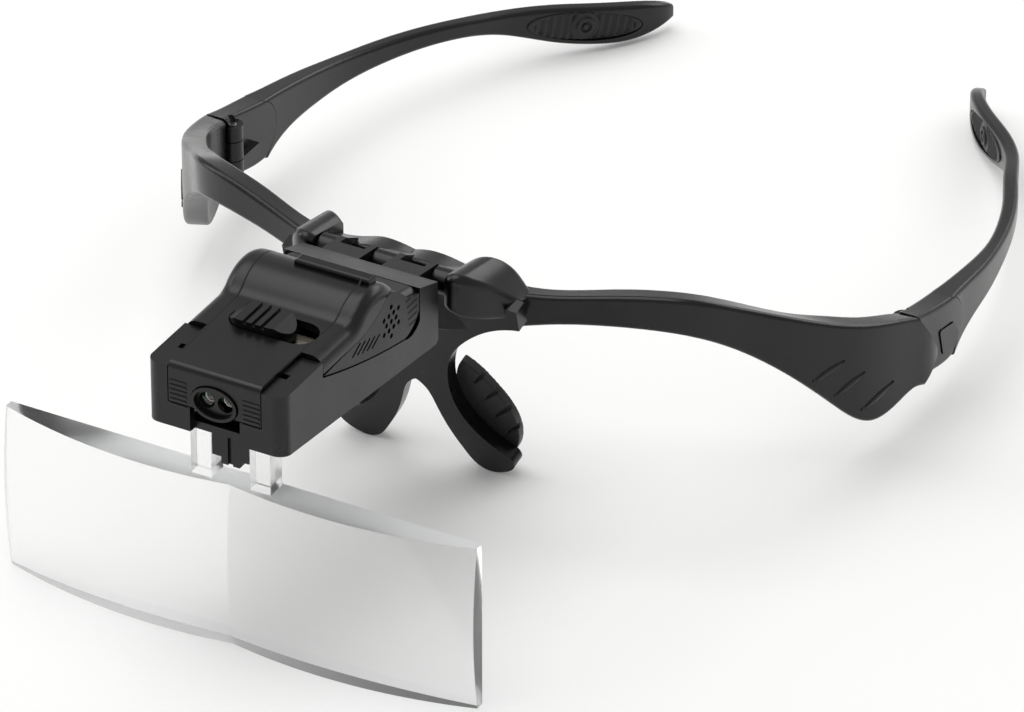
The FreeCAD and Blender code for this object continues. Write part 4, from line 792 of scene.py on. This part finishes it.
@dataclass(frozen=True)
class Softbox:
    """One soft light that faces the glasses. Its place and size are in metres."""

    name: str
    place: tuple[float, float, float]
    size: tuple[float, float]
    watts: float

    def hang(self) -> None:
        """Puts the light in the scene."""
        data = bpy.data.lights.new(self.name, "AREA")
        data.shape = "RECTANGLE"
        data.size, data.size_y = self.size
        data.energy = self.watts
        light = bpy.data.objects.new(self.name, data)
        light.location = self.place
        light.rotation_euler = (-Vector(self.place)).to_track_quat("-Z", "Y").to_euler()
        bpy.context.scene.collection.objects.link(light)


@dataclass
class Studio:
    """The pale floor, the soft lights and the camera at the photograph's angle.

    Angles are in degrees. The camera's distance, shifts and aim are in mm, and the floor's size is in
    metres.
    """

    azimuth: float = 28.8242
    elevation: float = 32.2577
    distance: float = 1650.0
    side_shift: float = 7.8342
    rise_shift: float = 26.1234
    aim: tuple[float, float, float] = (0.0, 6.4, 25.4)
    lens: float = 314.88
    sensor: float = 36.0
    sight: float = 20.0
    floor_size: float = 12.0
    floor_gap: float = 0.02
    fibre_mm: float = 2.0
    fibre_depth_mm: float = 0.02
    room_light: float = 0.55
    softboxes: tuple[Softbox, ...] = (
        Softbox("top_softbox", (-0.25, -0.1, 1.2), (1.3, 1.0), 9.0),
        Softbox("left_softbox", (-1.1, -0.2, 0.6), (0.5, 1.0), 3.5),
        Softbox("back_softbox", (0.4, 1.3, 0.7), (1.2, 0.5), 4.0),
    )

    def camera(self) -> None:
        """Places the camera."""
        turn, tilt = math.radians(self.azimuth), math.radians(self.elevation)
        right = Vector((math.cos(turn), math.sin(turn), 0.0))
        ahead = Vector((-math.sin(turn) * math.cos(tilt), math.cos(turn) * math.cos(tilt), -math.sin(tilt)))
        up = right.cross(ahead)
        place = Vector(self.aim) - ahead * self.distance - right * self.side_shift - up * self.rise_shift
        data = bpy.data.cameras.new("photo_camera")
        data.lens = self.lens
        data.sensor_width = self.sensor
        data.sensor_fit = "HORIZONTAL"
        data.clip_end = self.sight
        camera = bpy.data.objects.new("photo_camera", data)
        turned = Matrix((right, up, -ahead)).transposed().to_4x4()
        camera.matrix_world = Matrix.Translation(place * MM) @ turned
        bpy.context.scene.collection.objects.link(camera)
        bpy.context.scene.camera = camera

    def floor(self) -> None:
        """Makes the pale floor."""
        nothing_selected()
        bpy.ops.mesh.primitive_plane_add(size=self.floor_size, location=(0.0, 0.0, -self.floor_gap * MM))
        floor = bpy.context.active_object
        floor.name = "studio_floor"
        material, tree, surface = empty_material("pale_card")
        place = add_node(tree, "ShaderNodeTexCoord")
        fibre = add_node(
            tree, "ShaderNodeTexNoise", {"Scale": per_metre(self.fibre_mm), "Detail": 3.0},
            {"Vector": place.outputs["Object"]},
        )
        relief = add_node(
            tree, "ShaderNodeBump", {"Strength": 0.1, "Distance": self.fibre_depth_mm * MM},
            {"Height": fibre.outputs[0]},
        )
        card = add_node(
            tree, "ShaderNodeBsdfPrincipled", {"Base Color": linear("F4F4F3"), "Roughness": 0.7},
            {"Normal": relief.outputs[0]},
        )
        tree.links.new(card.outputs[0], surface)
        floor.data.materials.append(material)

    def lights(self) -> None:
        """Hangs the lights and sets the even white surroundings."""
        for softbox in self.softboxes:
            softbox.hang()
        world = bpy.data.worlds.new("white_room")
        world.use_nodes = True
        sky = world.node_tree.nodes["Background"]
        sky.inputs["Color"].default_value = linear("FFFFFF")
        sky.inputs["Strength"].default_value = self.room_light
        bpy.context.scene.world = world
        bpy.context.scene.view_settings.view_transform = "Standard"

    def build(self) -> None:
        """Makes the studio."""
        self.floor()
        self.lights()
        self.camera()


def main() -> None:
    """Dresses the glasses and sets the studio."""
    logging.basicConfig(level=logging.INFO, format="%(name)s: %(message)s")
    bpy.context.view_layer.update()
    dress_nodes()
    RubberPads().build()
    RearSlots().build()
    FrontRibs().build()
    LampInside().build()
    PanelLines().build()
    CornerFlutes().build()
    Studio().build()


if __name__ == "__main__":
    main()
